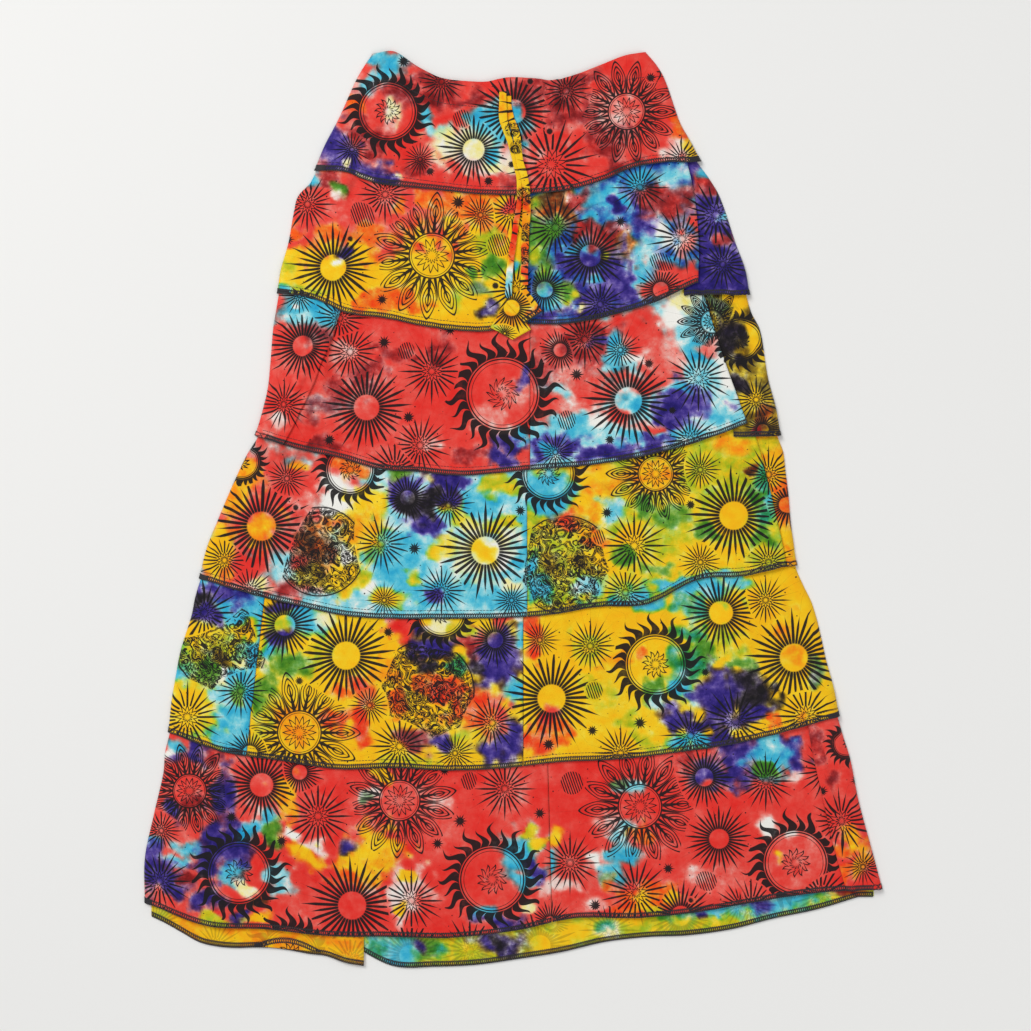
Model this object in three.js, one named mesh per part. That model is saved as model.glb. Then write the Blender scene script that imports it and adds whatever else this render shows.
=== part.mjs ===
// A long printed skirt of a waistband and five tiers, lying flat on its back with its front up.
// X runs across the skirt, Y from the hem to the waist, and Z up from the surface that it lies on.
// All sizes are in millimetres. The origin is under the middle of the skirt's box.
import * as THREE from "three";

const wall = 1.2; // cloth, its sewn allowances pressed into it
const gap = 0.6; // clear space between two walls that lie on each other
const pitch = wall + gap; // one cloth level above another
const lap = 10; // how far a tier reaches down over the next one
const tuck = 14; // how far a strip runs on below the fold beside it
const frontHeight = 3.6; // inside of the front above the surface
const sideRoll = 7; // how far in from the side the front starts to bend down
const backInset = 6; // the back ends this far inside the side folds
const puff = 1.6; // how far each tier's middle stands above its seams
const turnShare = 0.1; // share of a panel's steps across that its turn at a side fold takes
const seamGap = 0.4; // clear space between two panels that are sewn side by side
const backGap = 1.2; // and between two of the back's tiers
const sideInset = 2.2; // the cloth's outside, not its inside, has the garment's width
const riseStart = 0.58; // share of a tier's height where it starts to rise over the next one
const riseEnd = 0.88; // and where it has risen
const foldRamp = 45; // over what length a panel rises to a fold at its side
const raisedFrom = 20; // a folded back panel lies a level up this near its fold
const raisedTo = 46; // and on the surface this far from it

// The side folds, from the waist down: where each tier starts and ends, and X at 12.5, 25, 50 and 75
// percent of the way between.
const leftSide = [
  { tier: 1, startX: -146, startY: 467, at12: -156, at25: -164, at50: -177, at75: -191, endY: 350 },
  { tier: 2, startX: -209, startY: 336, at12: -222, at25: -226, at50: -231, at75: -236, endY: 222 },
  { tier: 3, startX: -240, startY: 222, at12: -243, at25: -246, at50: -249, at75: -253, endY: 75 },
  { tier: 4, startX: -263, startY: 75, at12: -274, at25: -283, at50: -299, at75: -313, endY: -71 },
  { tier: 5, startX: -322, startY: -71, at12: -328, at25: -332, at50: -344, at75: -350, endY: -229 },
  { tier: 6, startX: -354, startY: -229, at12: -359, at25: -361, at50: -371, at75: -380, endY: -404 },
];
const rightSide = [
  { tier: 1, startX: 138, startY: 470, at12: 150, at25: 158, at50: 168, at75: 178, endY: 356 },
  { tier: 2, startX: 192, startY: 356, at12: 204, at25: 214, at50: 226, at75: 236, endY: 220 },
  { tier: 3, startX: 242, startY: 220, at12: 247, at25: 256, at50: 262, at75: 268, endY: 75 },
  { tier: 4, startX: 274, startY: 75, at12: 280, at25: 282, at50: 286, at75: 288, endY: -61 },
  { tier: 5, startX: 293, startY: -61, at12: 301, at25: 310, at50: 320, at75: 327, endY: -213 },
  { tier: 6, startX: 334, startY: -213, at12: 340, at25: 347, at50: 356, at75: 368, endY: -391 },
];
const leftHem = { x: -380, y: -404 };
const rightHem = { x: 380, y: -391 };

const mix = (a, b, t) => a + (b - a) * t;
const ease = (a, b, s) => THREE.MathUtils.smoothstep(s, a, b);

// The front's lower edges, from the waist down. Each is a row of places along it, in squares of a frame
// laid over the skirt, counted across and down from the frame's upper left corner.
const square = { size: 1.03, zeroX: 512.5, zeroY: 508.5 };
const edgePlaces = {
  waist: [
    [371, 55], [380, 51.6], [393, 51.6], [404, 54], [409, 60], [416, 66], [426, 73], [441, 78],
    [461, 81], [482, 82], [507, 78], [524, 78], [541, 80], [555, 80], [558, 82], [570, 77], [586, 70],
    [613, 61], [629, 53], [641, 50], [646, 52],
  ],
  seam1: [
    [312, 171], [328, 169], [345, 172], [356, 178], [375, 183], [393, 185], [416, 188], [449, 192],
    [474, 194], [517, 195], [530, 194], [571, 190], [603, 180], [633, 168], [657, 160], [667, 163],
    [681, 166], [699, 163],
  ],
  seam2: [
    [280, 293], [292, 293], [308, 296], [321, 302], [336, 310], [350, 314], [373, 316], [393, 320],
    [411, 322], [427, 327], [452, 330], [485, 331], [533, 322], [553, 324], [579, 323], [607, 315],
    [641, 308], [657, 301], [677, 291], [695, 283],
  ],
  seam3: [
    [257, 436], [278, 444], [300, 449], [326, 454], [349, 460], [374, 468], [394, 471], [436, 472],
    [461, 475], [495, 473], [526, 469], [561, 467], [602, 463], [636, 457], [680, 447], [713, 436],
    [728, 429], [746, 423],
  ],
  seam4: [
    [200, 577], [216, 582], [236, 589], [260, 595], [283, 600], [306, 606], [331, 613], [356, 616],
    [390, 617.5], [440, 618], [490, 617], [539, 616], [564, 611], [589, 607], [609, 605], [625, 608],
    [646, 603], [665, 599], [671, 591], [683, 582], [706, 577], [734, 575], [749, 575], [767, 568],
    [786, 563], [797, 562],
  ],
  seam5: [
    [170, 731], [185, 739], [208, 747], [233, 753], [246, 757], [271, 759], [296, 761], [329, 767],
    [361, 770], [393, 766], [426, 769], [460, 769], [501, 767], [534, 761], [567, 760], [600, 760],
    [633, 756], [675, 751], [716, 747], [741, 740], [774, 732], [799, 727], [820, 719], [837, 715],
  ],
  hemFront: [
    [145, 901], [196, 917], [215, 931], [239, 927], [263, 926], [279, 932], [304, 936], [364, 933],
    [410, 937], [460, 936], [503, 931], [526, 927], [547, 921], [576, 916], [620, 915], [656, 918],
    [700, 910], [727, 905], [763, 899], [816, 892], [834, 887], [847, 891], [852, 899], [875, 894],
    [881, 888],
  ],
};
const edgeSteps = 12;

// An edge as both ends, and how far it dips below the straight line between them at each twelfth of its
// width, all in whole millimetres.
function edgeRow(places) {
  const points = places.map(([across, down]) => [
    (across - square.zeroX) * square.size,
    (square.zeroY - down) * square.size,
  ]);
  const left = points[0];
  const right = points[points.length - 1];
  const dips = [];
  for (let step = 1; step < edgeSteps; step += 1) {
    const x = mix(left[0], right[0], step / edgeSteps);
    const next = points.findIndex((point) => point[0] > x);
    const [x1, y1] = points[next - 1];
    const [x2, y2] = points[next];
    const line = mix(left[1], right[1], step / edgeSteps);
    dips.push(Math.round(line - mix(y1, y2, (x - x1) / (x2 - x1))));
  }
  return { left: left.map(Math.round), right: right.map(Math.round), dips };
}

// All the lower edges: those above, and the side strips' and the back's, as both ends and dips.
const edgeRows = {
  ...Object.fromEntries(Object.entries(edgePlaces).map(([name, places]) => [name, edgeRow(places)])),
  strip2: { left: [170, 219], right: [242, 220], dips: [0, -1, -1, 0, -1, -1, -1, -1, 0, 0, 0] },
  strip3: { left: [220, 74], right: [275, 75], dips: [0, 0, 0, 0, 0, 0, 0, 0, 0, 0, 0] },
  strip4: { left: [270, -60], right: [294, -58], dips: [0, 0, 0, 0, 0, 0, 0, 0, 0, 0, 0] },
  shoulder2: { left: [168, 352], right: [204, 346], dips: [0, 0, 0, 0, 0, 0, 0, 0, 0, 0, 0] },
  hemBackLeft: { left: [-379, -416], right: [-153, -470], dips: [4, 10, 16, 16, 13, 8, 4, 2, 1, -1, 1] },
  hemBackRight: { left: [-167, -448], right: [356, -399], dips: [26, 31, 33, 31, 28, 22, 21, 23, 21, 14, 9] },
};

// Upright lines between two panels: X and Y at the top and at the foot, and the bow to the right halfway.
const joinRows = {
  centre2: { topX: 15, topY: 340, footX: 15, footY: 180, bow: 0 },
  centre3: { topX: 18, topY: 200, footX: 18, footY: 30, bow: 0 },
  centre4: { topX: 15, topY: 50, footX: 15, footY: -120, bow: 0 },
  centre5: { topX: 11, topY: -100, footX: 11, footY: -270, bow: 0 },
  centre6: { topX: 36, topY: -250, footX: 41, footY: -440, bow: 0 },
  fold2: { topX: 177, topY: 366, footX: 190, footY: 232, bow: 6 },
  fold3: { topX: 190, topY: 242, footX: 241, footY: 88, bow: -2 },
  fold4: { topX: 243, topY: 98, footX: 281, footY: -55, bow: 2 },
  foldLeft3: { topX: -174, topY: 212, footX: -236, footY: 65, bow: 5 },
  side5: { topX: -255, topY: -90, footX: -274, footY: -258, bow: 0 },
  pleat6: { topX: 301, topY: -200, footX: 344, footY: -394, bow: -4 },
  backFold: { topX: -153, topY: -250, footX: -153, footY: -470, bow: 0 },
};

// The front's largest soft folds: the two ends, how high each stands, and half its width.
const foldRows = [
  { x1: -150, y1: 330, x2: -182, y2: 262, rise: 2, half: 15 },
  { x1: 62, y1: 440, x2: 34, y2: 372, rise: 1.8, half: 12 },
  { x1: -128, y1: 420, x2: -160, y2: 372, rise: 1.6, half: 15 },
  { x1: 120, y1: 305, x2: 138, y2: 238, rise: 1.8, half: 14 },
  { x1: -196, y1: 160, x2: -222, y2: 112, rise: 1.4, half: 12 },
  { x1: -60, y1: 150, x2: -78, y2: 74, rise: 1.5, half: 16 },
  { x1: 186, y1: 52, x2: 232, y2: -8, rise: 2, half: 15 },
  { x1: -222, y1: 26, x2: -246, y2: -52, rise: 1.8, half: 15 },
  { x1: 84, y1: -112, x2: 98, y2: -196, rise: 2.4, half: 15 },
  { x1: -150, y1: -134, x2: -158, y2: -222, rise: 1.6, half: 16 },
  { x1: 226, y1: -96, x2: 250, y2: -176, rise: 2, half: 16 },
  { x1: -216, y1: -286, x2: -236, y2: -382, rise: 2, half: 18 },
  { x1: 32, y1: -288, x2: 40, y2: -372, rise: 1.8, half: 14 },
  { x1: -70, y1: -300, x2: -64, y2: -392, rise: 1.6, half: 18 },
  { x1: 190, y1: -286, x2: 214, y2: -366, rise: 2, half: 18 },
];

// A smooth curve through rows [along, value], as a function of along.
function smoothThrough(rows) {
  const slope = (i) => {
    const a = rows[Math.max(i - 1, 0)];
    const b = rows[Math.min(i + 1, rows.length - 1)];
    return (b[1] - a[1]) / (b[0] - a[0]);
  };
  return (along) => {
    const s = Math.min(Math.max(along, rows[0][0]), rows[rows.length - 1][0]);
    let i = 0;
    while (i < rows.length - 2 && s > rows[i + 1][0]) i += 1;
    const width = rows[i + 1][0] - rows[i][0];
    const t = (s - rows[i][0]) / width;
    const t2 = t * t;
    const t3 = t2 * t;
    return (
      (2 * t3 - 3 * t2 + 1) * rows[i][1] +
      (t3 - 2 * t2 + t) * width * slope(i) +
      (3 * t2 - 2 * t3) * rows[i + 1][1] +
      (t3 - t2) * width * slope(i + 1)
    );
  };
}

// A side fold's X as a function of Y.
function sideCurve(rows, hem) {
  const shares = { at12: 0.125, at25: 0.25, at50: 0.5, at75: 0.75 };
  const points = [];
  rows.forEach((row) => {
    points.push([row.startY, row.startX]);
    Object.entries(shares).forEach(([name, share]) =>
      points.push([mix(row.startY, row.endY, share), row[name]]),
    );
  });
  points.push([hem.y, hem.x]);
  return smoothThrough(points.reverse());
}

// A lower edge's Y as a function of X.
function edgeCurve({ left, right, dips }) {
  const steps = dips.length + 1;
  const points = [0, ...dips, 0].map((dip, i) => [
    mix(left[0], right[0], i / steps),
    mix(left[1], right[1], i / steps) - dip,
  ]);
  return smoothThrough(points);
}

const outline = {
  left: sideCurve(leftSide, leftHem),
  right: sideCurve(rightSide, rightHem),
};
const edges = Object.fromEntries(
  Object.entries(edgeRows).map(([name, row]) => [name, edgeCurve(row)]),
);

// X of an upright line at a height, moved by shift.
function joinX(name, y, shift = 0) {
  const { topX, topY, footX, footY, bow } = joinRows[name];
  const t = THREE.MathUtils.clamp((topY - y) / (topY - footY), 0, 1);
  return mix(topX, footX, t) + 4 * bow * t * (1 - t) + shift;
}

// How far the front stands above frontHeight at a place: its tier's puff and the soft folds.
// Both die out at the tier's seams, so that lapped edges lie flat on each other.
const tierEdges = ["waist", "seam1", "seam2", "seam3", "seam4", "seam5", "hemFront"];
function relief(x, y) {
  const k = tierEdges.findIndex((name, i) => i > 0 && y > edges[name](x));
  if (k < 1) return 0;
  const top = edges[tierEdges[k - 1]](x);
  const foot = edges[tierEdges[k]](x);
  const down = THREE.MathUtils.clamp((top - y) / (top - foot), 0, 1);
  const inside = Math.min(x - outline.left(y), outline.right(y) - x);
  const calm = Math.sin(Math.PI * down) ** 2 * ease(0, 60, inside);
  const folds = foldRows.reduce((sum, { x1, y1, x2, y2, rise, half }) => {
    const length2 = (x2 - x1) ** 2 + (y2 - y1) ** 2;
    const along = THREE.MathUtils.clamp(((x - x1) * (x2 - x1) + (y - y1) * (y2 - y1)) / length2, 0, 1);
    const away = Math.hypot(x - mix(x1, x2, along), y - mix(y1, y2, along));
    return sum + rise * Math.exp(-((away / half) ** 2));
  }, 0);
  return calm * (puff + folds);
}

// Whether a piece is bent down along one of its edges, where the cloth folds round to the back.
const turnsDown = (piece, edge) => piece.isFront && piece[edge] === "side";

// How far a share u of a panel's width is from its left edge. A turn at a side fold is always
// sideRoll wide, so that the walls that lie on each other there turn at the same places.
function distanceAcross(piece, u, width) {
  const startShare = turnsDown(piece, "left") ? turnShare : 0;
  const endShare = turnsDown(piece, "right") ? turnShare : 0;
  if (startShare > 0 && u < startShare) return (u / startShare) * sideRoll;
  if (endShare > 0 && 1 - u < endShare) return width - ((1 - u) / endShare) * sideRoll;
  const start = startShare > 0 ? sideRoll : 0;
  const end = endShare > 0 ? width - sideRoll : width;
  return mix(start, end, (u - startShare) / (1 - startShare - endShare));
}

// The X limits of a piece at a height, inset from the garment's outline at a side fold.
function limits(piece, inset) {
  return {
    left: (y) =>
      piece.left === "side" ? outline.left(y) + inset : joinX(piece.left, y, piece.leftShift),
    right: (y) =>
      piece.right === "side" ? outline.right(y) - inset : joinX(piece.right, y, piece.rightShift),
  };
}

// Where shares u and v of a piece lie on the surface: v runs from its top edge to its foot.
function placeFlat(piece, inset, u, v) {
  const { left, right } = limits(piece, inset);
  let y = mix(edges[piece.top](0), edges[piece.foot](0), v);
  let x = 0;
  for (let turn = 0; turn < 12; turn += 1) {
    x = left(y) + distanceAcross(piece, u, right(y) - left(y));
    y = mix(edges[piece.top](x) + piece.topLap, edges[piece.foot](x) + piece.footLap, v);
  }
  return { x, y, fromLeft: x - left(y), fromRight: right(y) - x };
}

// The front's inner surface: flat at frontHeight plus relief, and turning down to the surface
// along a quarter of an ellipse in the last sideRoll at a side fold.
function frontPoint(piece, u, v) {
  const { x, y, fromLeft, fromRight } = placeFlat(piece, sideInset, u, v);
  const angle = (from) => (from / sideRoll) * (Math.PI / 2);
  const turned = (from) => sideRoll * (1 - Math.cos(angle(from)));
  const near = Math.min(x - outline.left(y), outline.right(y) - x) - sideInset;
  let placed = x;
  let share = near < sideRoll ? Math.sqrt(Math.max(1 - (1 - near / sideRoll) ** 2, 0)) : 1;
  if (turnsDown(piece, "left") && fromLeft < sideRoll) {
    placed = x - fromLeft + turned(fromLeft);
    share = Math.sin(angle(fromLeft));
  }
  if (turnsDown(piece, "right") && fromRight < sideRoll) {
    placed = x + fromRight - turned(fromRight);
    share = Math.sin(angle(fromRight));
  }
  const at = new THREE.Vector3(placed, y, (frontHeight + relief(placed, y)) * share);
  return { at, fromLeft, fromRight };
}

// Which cloth level a front piece lies on at a place. Its top edge is below the tier above, and
// it rises near its foot over the tier below and at its sides over the strips there.
function frontLevel(piece, v, fromLeft, fromRight) {
  const rise = ease(riseStart, riseEnd, v);
  const [topLeft, topMiddle, topRight] = piece.topLevels;
  const [footLeft, footMiddle, footRight] = piece.footLevels;
  const atLeft = 1 - ease(piece.leftReach, piece.leftReach + foldRamp, fromLeft);
  const atRight = 1 - ease(piece.rightReach, piece.rightReach + foldRamp, fromRight);
  const level = (left, middle, right) => middle + (left - middle) * atLeft + (right - middle) * atRight;
  return mix(level(topLeft, topMiddle, topRight), level(footLeft, footMiddle, footRight), rise);
}

// The back's inner surface: flat on the surface below, and one level up beside a fold.
function backPoint(piece, u, v) {
  const { x, y, fromRight } = placeFlat(piece, sideInset + backInset, u, v);
  const raised = piece.raised ? pitch * (1 - ease(raisedFrom, raisedTo, fromRight)) : 0;
  return new THREE.Vector3(x, y, raised);
}

// A closed wall between a surface of u and v and the same surface moved out by the wall.
// place(u, v) gives the inner surface's point, and level(u, v) the cloth level that it lies on.
function clothWall(us, vs, place, level) {
  const step = 1e-3;
  const inner = [];
  const outer = [];
  vs.forEach((v) =>
    us.forEach((u) => {
      const across = place(u + step, v).sub(place(u - step, v));
      const down = place(u, v + step).sub(place(u, v - step));
      const normal = down.cross(across).normalize();
      const at = place(u, v).addScaledVector(normal, level(u, v) * pitch);
      inner.push(at);
      outer.push(at.clone().addScaledVector(normal, wall));
    }),
  );
  const points = [...inner, ...outer];
  const n = us.length;
  const m = vs.length;
  const far = n * m;
  const faces = [];
  const quad = (a, b, c, d) => faces.push(a, b, c, a, c, d);
  for (let j = 0; j < m - 1; j += 1) {
    for (let i = 0; i < n - 1; i += 1) {
      const a = j * n + i;
      quad(a, a + 1, a + n + 1, a + n);
      quad(far + a, far + a + n, far + a + n + 1, far + a + 1);
    }
  }
  for (let i = 0; i < n - 1; i += 1) {
    const foot = (m - 1) * n + i;
    quad(i, far + i, far + i + 1, i + 1);
    quad(foot, foot + 1, far + foot + 1, far + foot);
  }
  for (let j = 0; j < m - 1; j += 1) {
    const a = j * n;
    const b = a + n - 1;
    quad(a, a + n, far + a + n, far + a);
    quad(b, far + b, far + b + n, b + n);
  }
  const geometry = new THREE.BufferGeometry().setFromPoints(points);
  geometry.setIndex(faces);
  geometry.computeVertexNormals();
  return geometry;
}

const evenSteps = (count) => Array.from({ length: count + 1 }, (_, i) => i / count);

// Even steps from 0 to 1, with a side fold's turn in three steps at the ends that have one.
function acrossSteps(piece) {
  const start = turnsDown(piece, "left") ? turnShare : 0;
  const end = turnsDown(piece, "right") ? 1 - turnShare : 1;
  const even = evenSteps(piece.columns).map((t) => mix(start, end, t));
  const left = start > 0 ? [0, start / 3, (2 * start) / 3] : [];
  const right = end < 1 ? [1 - (2 * turnShare) / 3, 1 - turnShare / 3, 1] : [];
  return [...left, ...even, ...right];
}

// Steps from a panel's top edge to its foot, with one where the tier above stops covering it.
function downSteps(piece) {
  const covered = Math.max(piece.topLap, 0) / (edges[piece.top](0) + piece.topLap - edges[piece.foot](0));
  const even = evenSteps(piece.rows).map((t) => mix(covered, 1, t));
  return covered > 0 ? [0, ...even] : even;
}

const skirt = new THREE.Group();

function addMesh(name, geometry, colour) {
  const material = new THREE.MeshStandardMaterial({ color: colour, roughness: 0.85, metalness: 0 });
  const mesh = new THREE.Mesh(geometry, material);
  mesh.name = name;
  skirt.add(mesh);
}

function addFront(row) {
  const usual = { topLap: lap, footLap: 0, leftShift: 0, rightShift: 0, leftReach: 18, rightReach: 18 };
  const piece = { isFront: true, ...usual, ...row };
  const place = (u, v) => frontPoint(piece, u, v).at;
  const level = (u, v) => {
    const { fromLeft, fromRight } = frontPoint(piece, u, v);
    return frontLevel(piece, v, fromLeft, fromRight);
  };
  addMesh(piece.name, clothWall(acrossSteps(piece), downSteps(piece), place, level), piece.colour);
}

function addBack(row) {
  const usual = { topLap: -backGap / 2, footLap: backGap / 2, leftShift: 0, rightShift: 0 };
  const piece = { isFront: false, ...usual, ...row };
  const place = (u, v) => backPoint(piece, u, v);
  addMesh(piece.name, clothWall(acrossSteps(piece), evenSteps(piece.rows), place, () => 0), piece.colour);
}

// The front's panels, from the waist down. Levels are given at the left, in the middle and at the right.
const none = [0, 0, 0];
const one = [1, 1, 1];
const two = [2, 2, 2];
const half = seamGap / 2;
const frontRows = [
  { name: "waistband_front", top: "waist", foot: "seam1", topLap: 0, left: "side", right: "side",
    columns: 24, rows: 7, topLevels: none, footLevels: [1, 1, 2], rightReach: 30, colour: 0xc8363a },
  { name: "tier2_front_left", top: "seam1", foot: "seam2", left: "side", right: "centre2",
    rightShift: -half, columns: 15, rows: 8, topLevels: none, footLevels: [2, 1, 1], leftReach: 75,
    colour: 0xecb91c },
  { name: "tier2_front_right", top: "seam1", foot: "seam2", left: "centre2", leftShift: half,
    right: "fold2", columns: 12, rows: 7, topLevels: [0, 0, 1], footLevels: [1, 1, 3],
    colour: 0x4f7fb0 },
  { name: "tier2_side_right", top: "shoulder2", foot: "strip2", left: "fold2", leftShift: -tuck,
    right: "side", columns: 4, rows: 7, topLevels: none, footLevels: two, colour: 0x352a72 },
  { name: "tier3_side_left", top: "seam2", foot: "seam3", left: "side", right: "foldLeft3", columns: 4,
    rows: 7, topLevels: one, footLevels: two, colour: 0xd8484a },
  { name: "tier3_front_left", top: "seam2", foot: "seam3", left: "foldLeft3", leftShift: -tuck,
    right: "centre3", rightShift: -half, columns: 14, rows: 7, topLevels: none, footLevels: one,
    colour: 0xdc3c36 },
  { name: "tier3_front_right", top: "seam2", foot: "seam3", left: "centre3", leftShift: half,
    right: "fold3", columns: 14, rows: 7, topLevels: [0, 0, 1], footLevels: [1, 1, 3],
    colour: 0xa84a5c },
  { name: "tier3_side_right", top: "strip2", foot: "strip3", left: "fold3", leftShift: -tuck,
    right: "side", columns: 4, rows: 7, topLevels: none, footLevels: two, colour: 0x5a4a1e },
  { name: "tier4_front_left", top: "seam3", foot: "seam4", left: "side", right: "centre4",
    rightShift: -half, columns: 18, rows: 7, topLevels: none, footLevels: one, colour: 0xb8a040 },
  { name: "tier4_front_right", top: "seam3", foot: "seam4", left: "centre4", leftShift: half,
    right: "fold4", columns: 16, rows: 7, topLevels: [0, 0, 1], footLevels: [1, 1, 2],
    colour: 0xa0b830 },
  { name: "tier4_side_right", top: "strip3", foot: "strip4", left: "fold4", leftShift: -tuck,
    right: "side", columns: 3, rows: 7, topLevels: none, footLevels: one, colour: 0xe8a818 },
  { name: "tier5_side_left", top: "seam4", foot: "seam5", left: "side", right: "side5",
    rightShift: -half, columns: 5, rows: 7, topLevels: none, footLevels: one, colour: 0x3c7ca8 },
  { name: "tier5_front_left", top: "seam4", foot: "seam5", left: "side5", leftShift: half,
    right: "centre5", rightShift: -half, columns: 16, rows: 7, topLevels: none, footLevels: one,
    colour: 0xe4a820 },
  { name: "tier5_front_right", top: "seam4", foot: "seam5", left: "centre5", leftShift: half,
    right: "side", columns: 18, rows: 7, topLevels: none, footLevels: [1, 1, 2], rightReach: 50,
    colour: 0xe8b01c },
  { name: "tier6_front_left", top: "seam5", foot: "hemFront", left: "side", right: "centre6",
    rightShift: -half, columns: 22, rows: 8, topLevels: none, footLevels: none, colour: 0xc03c48 },
  { name: "tier6_front_right", top: "seam5", foot: "hemFront", left: "centre6", leftShift: half,
    right: "pleat6", rightShift: tuck, columns: 18, rows: 8, topLevels: none, footLevels: none,
    colour: 0xd83434 },
  { name: "tier6_pleat_right", top: "seam5", foot: "hemFront", left: "pleat6", right: "side",
    columns: 3, rows: 8, topLevels: one, footLevels: one, colour: 0xd84a30 },
];
frontRows.forEach(addFront);

// The back's panels, flat below the front. The hem tier has a fold, where its left part lies on its right.
const backRows = [
  { name: "waistband_back", top: "waist", foot: "seam1", topLap: -4, left: "side", right: "side",
    columns: 22, rows: 5, colour: 0xc8363a },
  { name: "tier2_back", top: "seam1", foot: "seam2", left: "side", right: "side", columns: 22, rows: 5,
    colour: 0x4f7fb0 },
  { name: "tier3_back", top: "seam2", foot: "seam3", left: "side", right: "side", columns: 22, rows: 5,
    colour: 0xdc3c36 },
  { name: "tier4_back", top: "seam3", foot: "seam4", left: "side", right: "side", columns: 22, rows: 5,
    colour: 0xa0b830 },
  { name: "tier5_back", top: "seam4", foot: "seam5", left: "side", right: "side", columns: 22, rows: 5,
    colour: 0xe8b01c },
  { name: "tier6_back_left", top: "seam5", foot: "hemBackLeft", footLap: 0, left: "side",
    right: "backFold", raised: true, columns: 12, rows: 5, colour: 0xe8b01c },
  { name: "tier6_back_right", top: "seam5", foot: "hemBackRight", footLap: 0, left: "backFold",
    leftShift: -tuck, right: "side", columns: 22, rows: 5, colour: 0x3ca8a0 },
];
backRows.forEach(addBack);

// The stretch of the back's hem that is turned up: a narrow lens on the back's left panel.
const turnedHem = { startX: -266, endX: -198, startY: -450, endY: -456, upper: 11, lower: 0, columns: 10 };
function turnedHemPoint(u, v) {
  const { startX, endX, startY, endY, upper, lower } = turnedHem;
  const bulge = Math.sin(Math.PI * THREE.MathUtils.clamp(u, 0, 1)) * 0.9 + 0.1;
  const y = mix(startY, endY, u) + mix(upper, lower, v) * bulge;
  return new THREE.Vector3(mix(startX, endX, u), y, 0);
}
addMesh(
  "tier6_hem_turned",
  clothWall(evenSteps(turnedHem.columns), evenSteps(1), turnedHemPoint, () => 1),
  0xe8b01c,
);

// The drawstring's two ends: the middle line from the buttonhole down, the cloth level, and the width.
const tieRows = {
  tie_long: [
    { x: -10, y: 428, level: 2.3, width: 7 },
    { x: -10, y: 414, level: 2.3, width: 8 },
    { x: -9.5, y: 400, level: 2.3, width: 8.5 },
    { x: -6, y: 387, level: 2.0, width: 7 },
    { x: -2.5, y: 377, level: 1.4, width: 6 },
    { x: 0.5, y: 366, level: 1.3, width: 6 },
    { x: 3.5, y: 354, level: 1.8, width: 6 },
    { x: 6.5, y: 340, level: 2.3, width: 5.5 },
    { x: 7, y: 326, level: 2.4, width: 5 },
    { x: 6.5, y: 312, level: 1.9, width: 5 },
    { x: 3.5, y: 292, level: 1.1, width: 6 },
    { x: 0.5, y: 271, level: 1.1, width: 6.5 },
    { x: -2.3, y: 251, level: 1.3, width: 7 },
    { x: -3.6, y: 234, level: 1.9, width: 7 },
    { x: -4.5, y: 216, level: 2.1, width: 7 },
  ],
  tie_short: [
    { x: -5, y: 424, level: 1.1, width: 7 },
    { x: -4, y: 411, level: 1.1, width: 7 },
    { x: -1.5, y: 400, level: 1.1, width: 7 },
    { x: 2.8, y: 388, level: 1.6, width: 7.5 },
    { x: 5, y: 377, level: 2.4, width: 7.5 },
    { x: 6, y: 366, level: 2.5, width: 7.5 },
    { x: 8, y: 354, level: 2.9, width: 7.5 },
    { x: 12, y: 341, level: 3.4, width: 7.5 },
    { x: 14.4, y: 323, level: 3.0, width: 7.5 },
    { x: 14.5, y: 307, level: 1.9, width: 8 },
    { x: 13.5, y: 289, level: 1.1, width: 8 },
    { x: 12.7, y: 270, level: 1.1, width: 8 },
    { x: 12.5, y: 252, level: 1.9, width: 7.5 },
    { x: 12, y: 238, level: 2.9, width: 7.5 },
    { x: 12, y: 229.5, level: 3.15, width: 8 },
  ],
};
function addTie(name, colour) {
  const rows = tieRows[name];
  const along = (column) => smoothThrough(rows.map((row, i) => [i, row[column]]));
  const [x, y, level, width] = ["x", "y", "level", "width"].map(along);
  const place = (u, v) => {
    const s = v * (rows.length - 1);
    const height = frontHeight + relief(x(s), y(s));
    return new THREE.Vector3(x(s) + (u - 0.5) * width(s), y(s), height);
  };
  const steps = (rows.length - 1) * 2;
  addMesh(name, clothWall([0, 1], evenSteps(steps), place, (u, v) => level(v * (rows.length - 1))), colour);
}
addTie("tie_long", 0xf0c020);
addTie("tie_short", 0xe8901c);

// The scraps of cloth on the ties' ends, each with a corner at the tie, to the right, at the foot and
// to the left.
const tipRows = [
  { name: "tie_tip_lower", tie: [-4.5, 214.5], right: [19, 184], foot: [0, 173.5], left: [-23, 186],
    level: 2.1, colour: 0xf0c020 },
  { name: "tie_tip_upper", tie: [12, 228.5], right: [30.5, 203], foot: [12, 191], left: [-7.5, 213],
    level: 3.15, colour: 0xf0c020 },
];
tipRows.forEach(({ name, tie, right, foot, left, level, colour }) => {
  const place = (u, v) => {
    const x = mix(mix(tie[0], right[0], u), mix(left[0], foot[0], u), v);
    const y = mix(mix(tie[1], right[1], u), mix(left[1], foot[1], u), v);
    return new THREE.Vector3(x, y, frontHeight + relief(x, y));
  };
  addMesh(name, clothWall(evenSteps(4), evenSteps(4), place, () => level), colour);
});

export default skirt;
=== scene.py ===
# A long printed skirt of a waistband and five tiers, laid flat on its back with its front up.
# Sizes are in millimetres and become metres as they enter a mesh. X runs across the skirt, Y from
# the hem to the waist, and Z up from the surface that it lies on.
from functools import partial

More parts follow.
